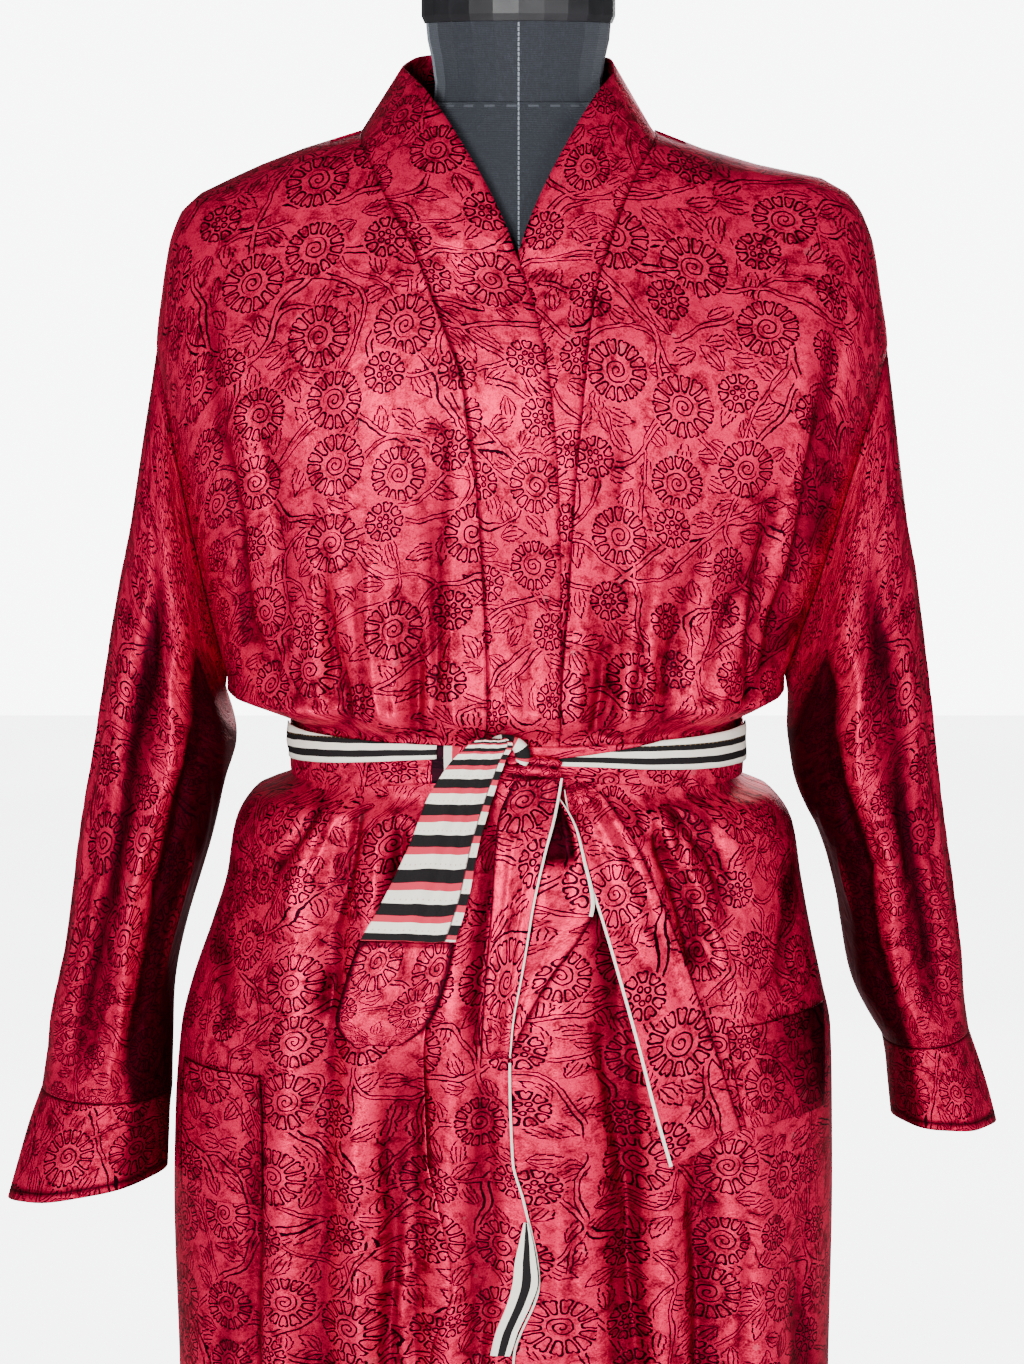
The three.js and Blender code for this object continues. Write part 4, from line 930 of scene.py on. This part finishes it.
class Wires:
    """Short ways to add and join shader nodes in one tree."""
    add, sub, mul, div = maths("ADD"), maths("SUBTRACT"), maths("MULTIPLY"), maths("DIVIDE")
    less, more, abs = maths("LESS_THAN"), maths("GREATER_THAN"), maths("ABSOLUTE")
    least, most = maths("MINIMUM"), maths("MAXIMUM")

    def __init__(self, tree):
        self.tree, self.count = tree, 0

    def node(self, kind, **props):
        n = self.tree.nodes.new(kind)
        n.location = (self.count % 12 * 180, -(self.count // 12) * 220)
        self.count += 1
        for k, v in props.items():
            setattr(n, k, v)
        return n

    def put(self, target, value):
        if value is None:
            return
        if isinstance(value, bpy.types.NodeSocket):
            self.tree.links.new(value, target)
        else:
            target.default_value = value

    def math(self, op, a, b=None, c=None):
        n = self.node("ShaderNodeMath", operation=op)
        for target, value in zip(n.inputs, (a, b, c)):
            self.put(target, value)
        return n.outputs[0]

    def vmath(self, op, a, b=None, scale=None):
        n = self.node("ShaderNodeVectorMath", operation=op)
        self.put(n.inputs[0], a)
        self.put(n.inputs[1], b)
        if scale is not None:
            self.put(n.inputs["Scale"], scale)
        return n.outputs["Value"] if op in ("LENGTH", "DISTANCE", "DOT_PRODUCT") else n.outputs["Vector"]

    def parts(self, v):
        n = self.node("ShaderNodeSeparateXYZ")
        self.put(n.inputs[0], v)
        return n.outputs

    def join(self, x, y, z=0.0):
        n = self.node("ShaderNodeCombineXYZ")
        for target, value in zip(n.inputs, (x, y, z)):
            self.put(target, value)
        return n.outputs[0]

    def turn(self, v, angle):
        n = self.node("ShaderNodeVectorRotate", rotation_type="Z_AXIS")
        self.put(n.inputs["Vector"], v)
        self.put(n.inputs["Angle"], angle)
        return n.outputs[0]

    def noise(self, v, scale, detail=2.0, rough=0.5, colour=False, distortion=0.0):
        n = self.node("ShaderNodeTexNoise")
        self.put(n.inputs["Vector"], v)
        self.put(n.inputs["Scale"], scale)
        self.put(n.inputs["Detail"], detail)
        self.put(n.inputs["Roughness"], rough)
        self.put(n.inputs["Distortion"], distortion)
        return n.outputs["Color" if colour else "Fac"]

    def scatter(self, v, spacing, loose):
        n = self.node("ShaderNodeTexVoronoi", voronoi_dimensions="2D", feature="F1")
        self.put(n.inputs["Vector"], v)
        self.put(n.inputs["Scale"], 1 / spacing)
        self.put(n.inputs["Randomness"], loose)
        return n.outputs["Position"], n.outputs["Color"]

    def mix(self, fac, a, b):
        n = self.node("ShaderNodeMix", data_type="RGBA")
        self.put(n.inputs["Factor"], fac)
        self.put(n.inputs[6], a)
        self.put(n.inputs[7], b)
        return n.outputs[2]

    def ramp(self, fac, stops, constant=False):
        n = self.node("ShaderNodeValToRGB")
        n.color_ramp.interpolation = "CONSTANT" if constant else "EASE"
        while len(n.color_ramp.elements) < len(stops):
            n.color_ramp.elements.new(0.5)
        for e, (at, colour) in zip(n.color_ramp.elements, stops):
            e.position, e.color = at, (*colour, 1)
        self.put(n.inputs[0], fac)
        return n.outputs["Color"]

    def group(self, tree, **values):
        n = self.node("ShaderNodeGroup", node_tree=tree)
        for k, v in values.items():
            self.put(n.inputs[k.replace("_", " ")], v)
        return n.outputs


def new_group(name, inputs, outputs):
    tree = bpy.data.node_groups.new(name, "ShaderNodeTree")
    for label, kind, value in inputs:
        socket(tree, kind, label, value=value)
    for label, kind in outputs:
        socket(tree, kind, label, "OUTPUT")
    w = Wires(tree)
    return tree, w, w.node("NodeGroupInput").outputs, w.node("NodeGroupOutput").inputs


FLOAT, VECTOR, COLOR = "NodeSocketFloat", "NodeSocketVector", "NodeSocketColor"
TWO_PI = 2 * math.pi


def flower_group():
    """A flower in line, sizes in mm: notched petals in separate outline about a spiral or a ring of beads."""
    tree, w, gi, go = new_group("flower_lines", [
        ("Vector", VECTOR, (0, 0, 0)), ("Petals", FLOAT, 14.0), ("Inner", FLOAT, 9.0), ("Outer", FLOAT, 20.0),
        ("Spiral", FLOAT, 1.0), ("Line", FLOAT, 1.02)], [("Lines", FLOAT), ("Inside", FLOAT)])
    x, y, _ = w.parts(gi["Vector"])
    r = w.vmath("LENGTH", gi["Vector"])
    angle = w.math("ARCTAN2", y, x)
    pitch = w.div(TWO_PI, gi["Petals"])
    half = w.mul(pitch, 0.5)
    off = w.abs(w.math("WRAP", angle, half, w.mul(half, -1.0)))
    side = w.sub(w.mul(w.sub(half, off), r), 0.42)
    notch = w.most(w.sub(1.0, w.mul(w.mul(off, r), 0.9)), 0.0)
    outer = w.sub(w.sub(gi["Outer"], r), w.mul(notch, 1.2))
    ends = w.least(outer, w.sub(r, gi["Inner"]))
    deep = w.math("SMOOTH_MIN", side, ends, 2.6)
    petal = w.mul(w.more(deep, 0.0), w.less(deep, gi["Line"]))
    thread = w.mul(gi["Line"], 0.5)
    turns = w.sub(w.div(r, 3.3), w.div(angle, TWO_PI))
    arm = w.mul(w.abs(w.sub(w.math("FRACT", turns), 0.5)), 3.3)
    spiral = w.mul(w.less(arm, thread),
                    w.less(r, w.sub(gi["Inner"], 1.6)))
    ring = w.math("WRAP", angle, math.pi / 5, -math.pi / 5)
    bead_at = w.join(w.sub(w.mul(r, w.math("COSINE", ring)), 3.5),
                     w.mul(r, w.math("SINE", ring)))
    bead = w.less(w.abs(w.sub(w.vmath("LENGTH", bead_at), 1.45)), thread)
    heart = w.add(w.mul(spiral, gi["Spiral"]),
                   w.mul(bead, w.sub(1.0, gi["Spiral"])))
    inside = w.less(r, w.add(gi["Outer"], 1.2))
    w.put(go["Lines"], w.mul(w.most(petal, heart), inside))
    w.put(go["Inside"], inside)
    return tree


def leaf_group():
    """A toothed leaf in line with a folded vein inside it. Sizes in mm."""
    tree, w, gi, go = new_group("leaf_lines", [
        ("Vector", VECTOR, (0, 0, 0)), ("Length", FLOAT, 22.0), ("Width", FLOAT, 5.2), ("Line", FLOAT, 1.02)],
        [("Lines", FLOAT), ("Inside", FLOAT)])
    x, y, _ = w.parts(gi["Vector"])
    t = w.div(x, gi["Length"])
    square = w.mul(t, t)
    side = w.abs(w.sub(y, w.mul(square, 7.0)))
    taper = w.sub(1.0, w.mul(square, 4.0))
    lean = w.sub(1.0, w.mul(t, 0.85))
    belly = w.mul(w.mul(taper, lean), gi["Width"])
    teeth = w.mul(w.sub(w.math("FRACT", w.div(x, 3.6)), 0.5), 1.1)
    deep = w.sub(w.add(belly, w.mul(teeth, taper)), side)
    within = w.less(w.abs(t), 0.5)
    edge = w.mul(w.more(deep, 0.0), w.less(deep, gi["Line"]))
    fold = w.abs(w.sub(side, w.mul(belly, 0.30)))
    vein = w.mul(w.less(fold, w.mul(gi["Line"], 0.42)),
                  w.less(w.abs(w.add(t, 0.14)), 0.27))
    w.put(go["Lines"], w.mul(w.most(edge, vein), within))
    w.put(go["Inside"], w.mul(w.more(deep, 0.0), within))
    return tree


BLOOM_STEP, LEAF_STEP, BLOOM_LOOSE = 47.0, 16.5, 0.5
STEM_BEND, STEM_REACH = 0.0125, 2.0


def stem_group():
    """Distance in mm from long curving stems: level lines of a smooth field, over its slope."""
    tree, w, gi, go = new_group("stem_distance", [("Vector", VECTOR, (0, 0, 0))], [("Distance", FLOAT)])
    sway = w.vmath("SUBTRACT", w.noise(gi["Vector"], 0.021, 1.0, colour=True), (0.5, 0.5, 0.5))
    bent = w.vmath("ADD", gi["Vector"], w.vmath("SCALE", sway, scale=30.0))
    far = None
    for shift in (0.0, 400.0, 930.0):
        here = w.vmath("ADD", bent, (shift, shift, 0.0))
        level, right, up = (w.noise(w.vmath("ADD", here, step), STEM_BEND, 0.0)
                            for step in ((0, 0, 0), (STEM_REACH, 0, 0), (0, STEM_REACH, 0)))
        slope = w.vmath("LENGTH", w.join(w.sub(right, level), w.sub(up, level)))
        steep = w.div(w.most(slope, 0.004), STEM_REACH)
        d = w.div(w.abs(w.sub(level, 0.5)), steep)
        d = w.add(d, w.mul(w.less(slope, 0.011), 9.0))
        far = d if far is None else w.least(far, d)
    w.put(go["Distance"], far)
    return tree


def bloom_size(w, tint):
    """Radius of a cell's flower and whether it is a large one."""
    pick = w.parts(tint)
    is_big = w.more(pick[0], 0.45)
    radius = w.add(12.8, w.mul(is_big, w.add(4.2, w.mul(pick[2], 3.4))))
    return is_big, radius, pick


def print_group(flower, leaf, stems):
    """Vine print on cloth in metres: flowers, stems that wind between them, and leaves beside the stems."""
    tree, w, gi, go = new_group("vine_print", [("Vector", VECTOR, (0, 0, 0)), ("Size", FLOAT, 1.0)],
                                [("Lines", FLOAT)])
    mm = w.vmath("SCALE", gi["Vector"], scale=w.div(1000.0, gi["Size"]))
    wob = w.vmath("SUBTRACT", w.noise(mm, 0.16, 2.0, colour=True), (0.5, 0.5, 0.5))
    flat = w.vmath("ADD", mm, w.vmath("SCALE", wob, scale=2.4))
    spot, tint = w.scatter(mm, BLOOM_STEP, BLOOM_LOOSE)
    is_big, radius, pick = bloom_size(w, tint)
    local = w.turn(w.vmath("SUBTRACT", flat, spot), w.mul(pick[1], TWO_PI))
    bloom = w.group(flower, Vector=local, Petals=w.add(9.0, w.mul(is_big, 5.0)),
                    Inner=w.add(6.0, w.mul(is_big, 3.0)), Outer=radius, Spiral=is_big)
    stem_far = w.group(stems, Vector=flat)["Distance"]
    stem = w.less(w.abs(w.sub(stem_far, 1.5)), 0.5)
    stem_in = w.less(stem_far, 1.9)
    spot2, tint2 = w.scatter(mm, LEAF_STEP, 0.8)
    pick2 = w.parts(tint2)
    near_spot, near_tint = w.scatter(spot2, BLOOM_STEP, BLOOM_LOOSE)
    _, near_radius, _ = bloom_size(w, near_tint)
    clear = w.more(w.vmath("DISTANCE", spot2, near_spot), w.add(near_radius, 0.5))
    clear = w.mul(clear, w.more(w.group(stems, Vector=spot2)["Distance"], 2.6))
    local2 = w.turn(w.vmath("SUBTRACT", flat, spot2), w.mul(pick2[0], TWO_PI))
    one = w.group(leaf, Vector=local2, Length=w.add(18.0, w.mul(pick2[1], 6.0)), Width=5.2)
    leaves = w.mul(w.mul(one["Lines"], clear), w.sub(1.0, stem_in))
    under = w.mul(w.most(stem, leaves), w.sub(1.0, bloom["Inside"]))
    w.put(go["Lines"], w.most(bloom["Lines"], under))
    return tree


def mottle_group():
    """Hand-dyed clouds, streaks and a few pale drops, from 0, deep, to 1, bright."""
    tree, w, gi, go = new_group("dye_clouds", [("Vector", VECTOR, (0, 0, 0))], [("Tone", FLOAT), ("Drops", FLOAT),
                                                                              ("Crackle", FLOAT)])
    mm = w.vmath("SCALE", gi["Vector"], scale=1000.0)
    a = w.noise(mm, 0.10, 7.0, 0.72, distortion=0.6)
    b = w.noise(mm, 0.016, 3.0, 0.5)
    c = w.noise(mm, 0.75, 3.0, 0.7)
    tone = w.add(w.mul(a, 0.60), w.add(w.mul(b, 0.12),
                                                            w.mul(c, 0.28)))
    w.put(go["Tone"], tone)
    spot, tint = w.scatter(mm, 34.0, 1.0)
    size = w.mul(w.math("POWER", w.parts(tint)[0], 9.0), 3.4)
    d = w.vmath("DISTANCE", mm, spot)
    w.put(go["Drops"], w.less(d, size))
    fine = w.noise(mm, 0.32, 2.0, 0.5, distortion=1.5)
    thread = w.mul(w.sub(0.045, w.abs(w.sub(fine, 0.5))), 22.0)
    w.put(go["Crackle"], w.mul(w.most(thread, 0.0), w.sub(1.25, tone)))
    return tree


def satin_group():
    """Height of the satin: fine crush wrinkles and the long floats of the weave."""
    tree, w, gi, go = new_group("satin_relief", [("Vector", VECTOR, (0, 0, 0)), ("Crush", FLOAT, 1.0)],
                                [("Height", FLOAT)])
    mm = w.vmath("SCALE", gi["Vector"], scale=1000.0)
    crush = w.noise(mm, 0.05, 4.0, 0.55, distortion=1.2)
    fine = w.noise(w.vmath("MULTIPLY", mm, (0.5, 3.0, 1.0)), 1.1, 2.0, 0.5)
    w.put(go["Height"], w.add(w.mul(crush, gi["Crush"]), w.mul(fine, 0.06)))
    return tree


FLOWER, LEAF = flower_group(), leaf_group()
PRINT, MOTTLE, SATIN = print_group(FLOWER, LEAF, stem_group()), mottle_group(), satin_group()
DEEP, MID, BRIGHT = (0.15, 0.001, 0.011), (0.42, 0.003, 0.036), (0.80, 0.004, 0.074)
INK = (0.004, 0.0004, 0.0016, 1)
CREAM, BLACK, ROSE = (0.95, 0.90, 0.78), (0.002, 0.003, 0.005), (0.62, 0.020, 0.060)


def new_material(name, rough, **sockets):
    mat = bpy.data.materials.new(name)
    mat.use_nodes = True
    w = Wires(mat.node_tree)
    shader = mat.node_tree.nodes["Principled BSDF"]
    shader.inputs["Roughness"].default_value = rough
    for k, v in sockets.items():
        shader.inputs[k.replace("_", " ")].default_value = v
    return mat, w, shader.inputs


def uv_of(w):
    return w.node("ShaderNodeUVMap", uv_map="UVMap").outputs[0]


def bump_up(w, shader, height, strength, distance):
    bump = w.node("ShaderNodeBump")
    bump.inputs["Strength"].default_value = strength
    bump.inputs["Distance"].default_value = distance
    w.put(bump.inputs["Height"], height)
    w.put(shader["Normal"], bump.outputs[0])


def robe_material(name, size=1.0, edge=None, bar=None, crush=1.0):
    """Crimson satin with the vine print. edge is (UV x, width, UV y below which it runs) of a cream piping,
    and bar the UV x of a woven black end with its pale selvedge."""
    mat, w, shader = new_material(name, 0.44, Metallic=0.42, Specular_IOR_Level=0.12,
                                  Specular_Tint=(1.0, 0.10, 0.26, 1))
    uv = uv_of(w)
    dye = w.group(MOTTLE, Vector=uv)
    tone = w.ramp(dye["Tone"], [(0.405, DEEP), (0.455, MID), (0.52, BRIGHT)])
    tone = w.mix(w.mul(dye["Crackle"], 0.7), tone, (0.16, 0.001, 0.014, 1))
    tone = w.mix(w.mul(dye["Drops"], 0.16), tone, (0.86, 0.20, 0.26, 1))
    # painted shade and highlight: the per-corner painted shade darkens the dye towards black in troughs, along edges
    # and in shaded places, and lightens it a little on ridges
    painted_shade_fac = w.node("ShaderNodeAttribute", attribute_name="painted_shade").outputs["Fac"]
    shade = w.ramp(painted_shade_fac, [(0.0, (0.05, 0.04, 0.05)), (0.12, (0.28, 0.22, 0.25)), (0.3, (0.66, 0.62, 0.64)),
                           (0.5, (0.93, 0.93, 0.93)), (1.0, (1.0, 1.0, 1.0))])
    tone = w.vmath("MULTIPLY", tone, shade)
    lines = w.group(PRINT, Vector=uv, Size=size)["Lines"]
    colour = w.mix(lines, tone, INK)
    plain = None
    if edge:
        along, wide, below = edge
        plain = w.mul(w.less(w.parts(uv)[0], along + wide),
                       w.less(w.parts(uv)[1], below))
        colour = w.mix(plain, colour, (*CREAM, 1))
    if bar:
        off = w.sub(w.parts(uv)[0], bar)
        plain = w.less(w.abs(w.sub(off, 0.004)), 0.0075)
        bands = w.ramp(w.mul(w.add(off, 0.0035), 66.0), [(0, BLACK), (0.45, CREAM), (0.75, ROSE)],
                       constant=True)
        colour = w.mix(plain, colour, bands)
    w.put(shader["Base Color"], colour)
    if plain:
        w.put(shader["Metallic"], w.mul(w.sub(1.0, plain), 0.45))
    bump_up(w, shader, w.group(SATIN, Vector=uv, Crush=crush)["Height"], 0.45, 0.0028)
    return mat


def stripe_material(name, stops, pitch, across, shift=0.0, hem=None):
    """Striped lining. stops are shares of the pitch, across is the UV axis that the stripes repeat along,
    shift moves them in mm, and past hem, in mm across the stripes' run, they are turned over and stitched, and a
    thin dark line of painted shadow runs along the turn."""
    mat, w, shader = new_material(name, 0.8, Specular_IOR_Level=0.08)
    uv = uv_of(w)
    mm = w.vmath("SCALE", uv, scale=1000.0)
    wave = w.mul(w.sub(w.noise(mm, 0.05, 1.0), 0.5), 1.6)
    along = w.add(w.add(w.parts(mm)[across], wave), shift)
    hem_shadow_line = None
    if hem:
        over = w.sub(w.parts(mm)[1 - across], hem)
        along = w.add(along, w.mul(w.more(over, 0.0), 5.0))
        # painted shadow: a thin dark line along the turned hem
        hem_shadow_line = w.less(w.abs(over), 0.45)
    share = w.math("FRACT", w.div(along, pitch))
    colour = w.ramp(share, stops, constant=True)
    dots = w.less(w.vmath("LENGTH", w.join(
        w.math("WRAP", w.parts(mm)[1 - across], 1.4, -1.4),
        w.math("WRAP", w.sub(along, pitch * 0.84), pitch / 2, -pitch / 2))), 0.38)
    colour = w.mix(w.mul(dots, 0.55), colour, (0.42, 0.24, 0.05, 1))
    grain = w.noise(w.vmath("MULTIPLY", mm, (1.0, 4.0, 1.0)), 0.9, 3.0)
    colour = w.mix(w.mul(grain, 0.08), colour, (0.25, 0.18, 0.15, 1))
    if hem_shadow_line:
        colour = w.mix(w.mul(hem_shadow_line, 0.7), colour, (0.03, 0.008, 0.012, 1))
    w.put(shader["Base Color"], colour)
    bump_up(w, shader, grain, 0.25, 0.0006)
    return mat


ROBE = robe_material("robe_satin")
ROBE_PIPED = robe_material("robe_satin_piped", edge=(0.0, 0.0015, 9.0))
ROBE_BAND = robe_material("robe_satin_band", edge=(BAND_AT, 0.0016, 0.565))
ROBE_SMALL = robe_material("robe_satin_patch", size=0.7, crush=1.2)
ROBE_BELT = robe_material("robe_satin_belt", bar=BELT_AT + 0.586, crush=1.6)
CROSS_STRIPES = stripe_material("cross_stripes", [(0.0, BLACK), (0.34, ROSE), (0.56, CREAM), (0.97, BLACK)], 16.0, 1,
                                shift=2.4, hem=37.0)
LONG_STRIPES = stripe_material("lengthwise_stripes", [(0.0, CREAM), (0.18, BLACK), (0.42, CREAM), (0.66, BLACK),
                                                      (0.86, CREAM)], 21.0, 1)
KNOT_STRIPES = stripe_material("knot_stripes", [(0.0, BLACK), (0.36, ROSE), (0.5, CREAM), (0.9, BLACK)], 15.0, 1)
FACING_STRIPES = stripe_material("facing_stripes", [(0.0, CREAM), (0.2, BLACK), (0.5, CREAM), (0.72, BLACK),
                                                    (0.86, CREAM)], 22.0, 0)


def build_cloth():
    pieces = {}

    def make(name, bm, material, slot, outside, **more):
        pieces[name] = finish_piece(name + "_cloth", bm, material, slot, outside, name, **more)

    body_out = lambda c: Vector((c.x, c.y, 0))
    front_out = lambda c: Vector((0, -1, 0))
    make("back", back_panel(216), ROBE, "robe_cloth", body_out)
    make("front_right", front_panel(True, 190), ROBE, "robe_cloth", body_out)
    make("front_left", front_panel(False, 190), ROBE, "robe_cloth", body_out)
    band, run = neckband()
    make("neckband", band, ROBE_BAND, "robe_cloth", body_out)
    for side in ("right", "left"):
        make("sleeve_" + side, sleeve(side), ROBE, "robe_cloth", sleeve_out(side))
        make("cuff_" + side, cuff(side), ROBE, "robe_cloth", sleeve_out(side))
        make("pocket_" + side, patch("pocket_" + side, 40, 60, PATCH_LIFT, gape=1.5), ROBE, "robe_cloth", front_out)
    make("facing_right", patch("facing_right", 16, 60, PATCH_LIFT - 0.3), FACING_STRIPES, "lining_cloth", front_out)
    make("belt", belt(), ROBE_BELT, "robe_cloth", body_out)
    make("belt_turn_right", turn_up(188, 254, 1.02, 0.30, 1.02, 0.66), LONG_STRIPES, "lining_cloth", front_out)
    make("belt_turn_left", turn_up(277, 352, 0.66, 0.46, 1.7, 0.26), LONG_STRIPES, "lining_cloth", front_out)
    make("belt_knot", knot(), ROBE_SMALL, "lining_cloth", lambda c: c - KNOT_AT * MM, thick=0)
    pieces["belt_knot"].data.materials.append(KNOT_STRIPES)
    for name, material, slot, cols, rows in (
            ("belt_tail_right", CROSS_STRIPES, "lining_cloth", 40, 90),
            ("belt_tail_end", ROBE_SMALL, "robe_cloth", 40, 50),
            ("belt_tail_left", ROBE_PIPED, "robe_cloth", 36, 140),
            ("belt_loop", ROBE_PIPED, "robe_cloth", 28, 200)):
        make(name, tail(name, cols, rows), material, slot, front_out)
    return pieces, run


CLOTH, BAND_RUN = build_cloth()


# ---------------------------------------------------------------- form and stand
def jersey_material():
    """Charcoal knit: fine cross ribs, a pale thread line down the centre, and a stitched neck seam."""
    mat, w, shader = new_material("form_jersey", 0.82, Sheen_Weight=0.3, Sheen_Roughness=0.5,
                                  Sheen_Tint=(0.7, 0.78, 0.9, 1))
    at = w.vmath("SCALE", w.node("ShaderNodeTexCoord").outputs["Object"], scale=1000.0)
    x, y, z = w.parts(at)
    wavy = w.add(z, w.mul(w.noise(at, 0.03, 2.0), 3.0))
    rib = w.math("SINE", w.mul(wavy, TWO_PI / 1.15))
    mottle = w.noise(w.vmath("MULTIPLY", at, (1.0, 1.0, 0.25)), 0.9, 3.0, 0.6)
    tone = w.add(w.mul(rib, 0.16), mottle)
    colour = w.ramp(tone, [(0.3, (0.007, 0.008, 0.013)), (0.62, (0.013, 0.016, 0.024)), (0.8, (0.026, 0.03, 0.042))])
    front = w.less(y, 0.0)
    line = w.mul(w.less(w.abs(w.sub(x, 1.0)), 0.55), front)
    tick = w.more(w.math("WRAP", z, 3.2, 0.0), 0.6)
    colour = w.mix(w.mul(w.mul(line, tick), 0.75), colour, (0.30, 0.33, 0.38, 1))
    seam = w.less(w.abs(w.sub(z, 1424.5)), 0.8)
    angle = w.mul(w.math("ARCTAN2", y, x), 26.0)
    dots = w.mul(seam, w.more(w.math("SINE", angle), 0.1))
    colour = w.mix(w.mul(dots, 0.5), colour, (0.10, 0.11, 0.13, 1))
    w.put(shader["Base Color"], colour)
    height = w.add(w.mul(rib, 0.5), mottle)
    bump_up(w, shader, height, 0.5, 0.0004)
    return mat


def hard_material(name, colour, rough, speck):
    """Painted or moulded finish with a little dust and rub."""
    mat, w, shader = new_material(name, rough)
    at = w.vmath("SCALE", w.node("ShaderNodeTexCoord").outputs["Object"], scale=1000.0)
    cloud = w.noise(at, 0.05, 4.0, 0.6)
    shade = tuple(min(1.0, c * 1.9 + 0.004) for c in colour)
    w.put(shader["Base Color"], w.ramp(cloud, [(0.35, colour), (0.75, shade)]))
    w.put(shader["Roughness"], w.add(w.mul(cloud, 0.2), rough - 0.1))
    bump_up(w, shader, w.noise(at, speck, 3.0), 0.25, 0.0003)
    return mat


def dress(node, material):
    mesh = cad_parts[node].data
    mesh.materials.clear()
    mesh.materials.append(material)


JERSEY = jersey_material()
for part in ("form_torso", "form_neck"):
    dress(part, JERSEY)
dress("form_cap", hard_material("form_cap", (0.006, 0.006, 0.008), 0.5, 1.2))
STAND = hard_material("stand_paint", (0.010, 0.010, 0.011), 0.45, 0.9)
for part in ("stand_base", "stand_pole"):
    dress(part, STAND)

# ---------------------------------------------------------------- floor, light and camera
floor_mat, w, shader = new_material("floor", 0.7)
at = w.vmath("SCALE", w.node("ShaderNodeTexCoord").outputs["Object"], scale=1.0)
pale = w.ramp(w.noise(at, 1.5, 2.0), [(0.3, (0.82, 0.83, 0.84)), (0.7, (0.86, 0.87, 0.88))])
w.put(shader["Base Color"], pale)
w.put(shader["Emission Color"], pale)
w.put(shader["Emission Strength"], w.mul(w.node("ShaderNodeLightPath").outputs["Is Camera Ray"], 6.5))
bm = bmesh.new()
bmesh.ops.create_grid(bm, x_segments=2, y_segments=2, size=6)
floor_mesh = bpy.data.meshes.new("floor")
bm.to_mesh(floor_mesh)
bm.free()
floor_mesh.materials.append(floor_mat)
floor = bpy.data.objects.new("floor", floor_mesh)
bpy.context.scene.collection.objects.link(floor)

world = bpy.context.scene.world or bpy.data.worlds.new("studio")
bpy.context.scene.world = world
world.use_nodes = True
sky = Wires(world.node_tree)
backing = world.node_tree.nodes["Background"]
backing.inputs["Color"].default_value = (0.97, 0.985, 1.0, 1)
seen = sky.node("ShaderNodeLightPath").outputs["Is Camera Ray"]
sky.put(backing.inputs["Strength"], sky.add(sky.mul(seen, 8.0), 0.18))
AIM = Vector((-0.0033, -0.11, 1.05))
for name, place, size, power in (("key", (-0.7, -3.0, 1.25), 0.8, 139), ("fill", (1.5, -2.5, 1.1), 0.9, 28),
                                 ("right", (2.3, -1.9, 1.3), 0.9, 14), ("back_light", (0.4, 3.0, 1.6), 1.6, 44)):
    lamp = bpy.data.lights.new(name, "AREA")
    lamp.size, lamp.energy = size, power
    light = bpy.data.objects.new(name, lamp)
    light.location = place
    light.rotation_euler = (AIM - light.location).to_track_quat("-Z", "Y").to_euler()
    bpy.context.scene.collection.objects.link(light)

camera = bpy.data.objects.new("camera", bpy.data.cameras.new("camera"))
camera.location = (-0.0033, -2.3817, 1.4098)
camera.rotation_euler = (AIM - camera.location).to_track_quat("-Z", "Y").to_euler()
camera.data.sensor_width = 36
camera.data.lens = 92.25
bpy.context.scene.collection.objects.link(camera)
bpy.context.scene.camera = camera
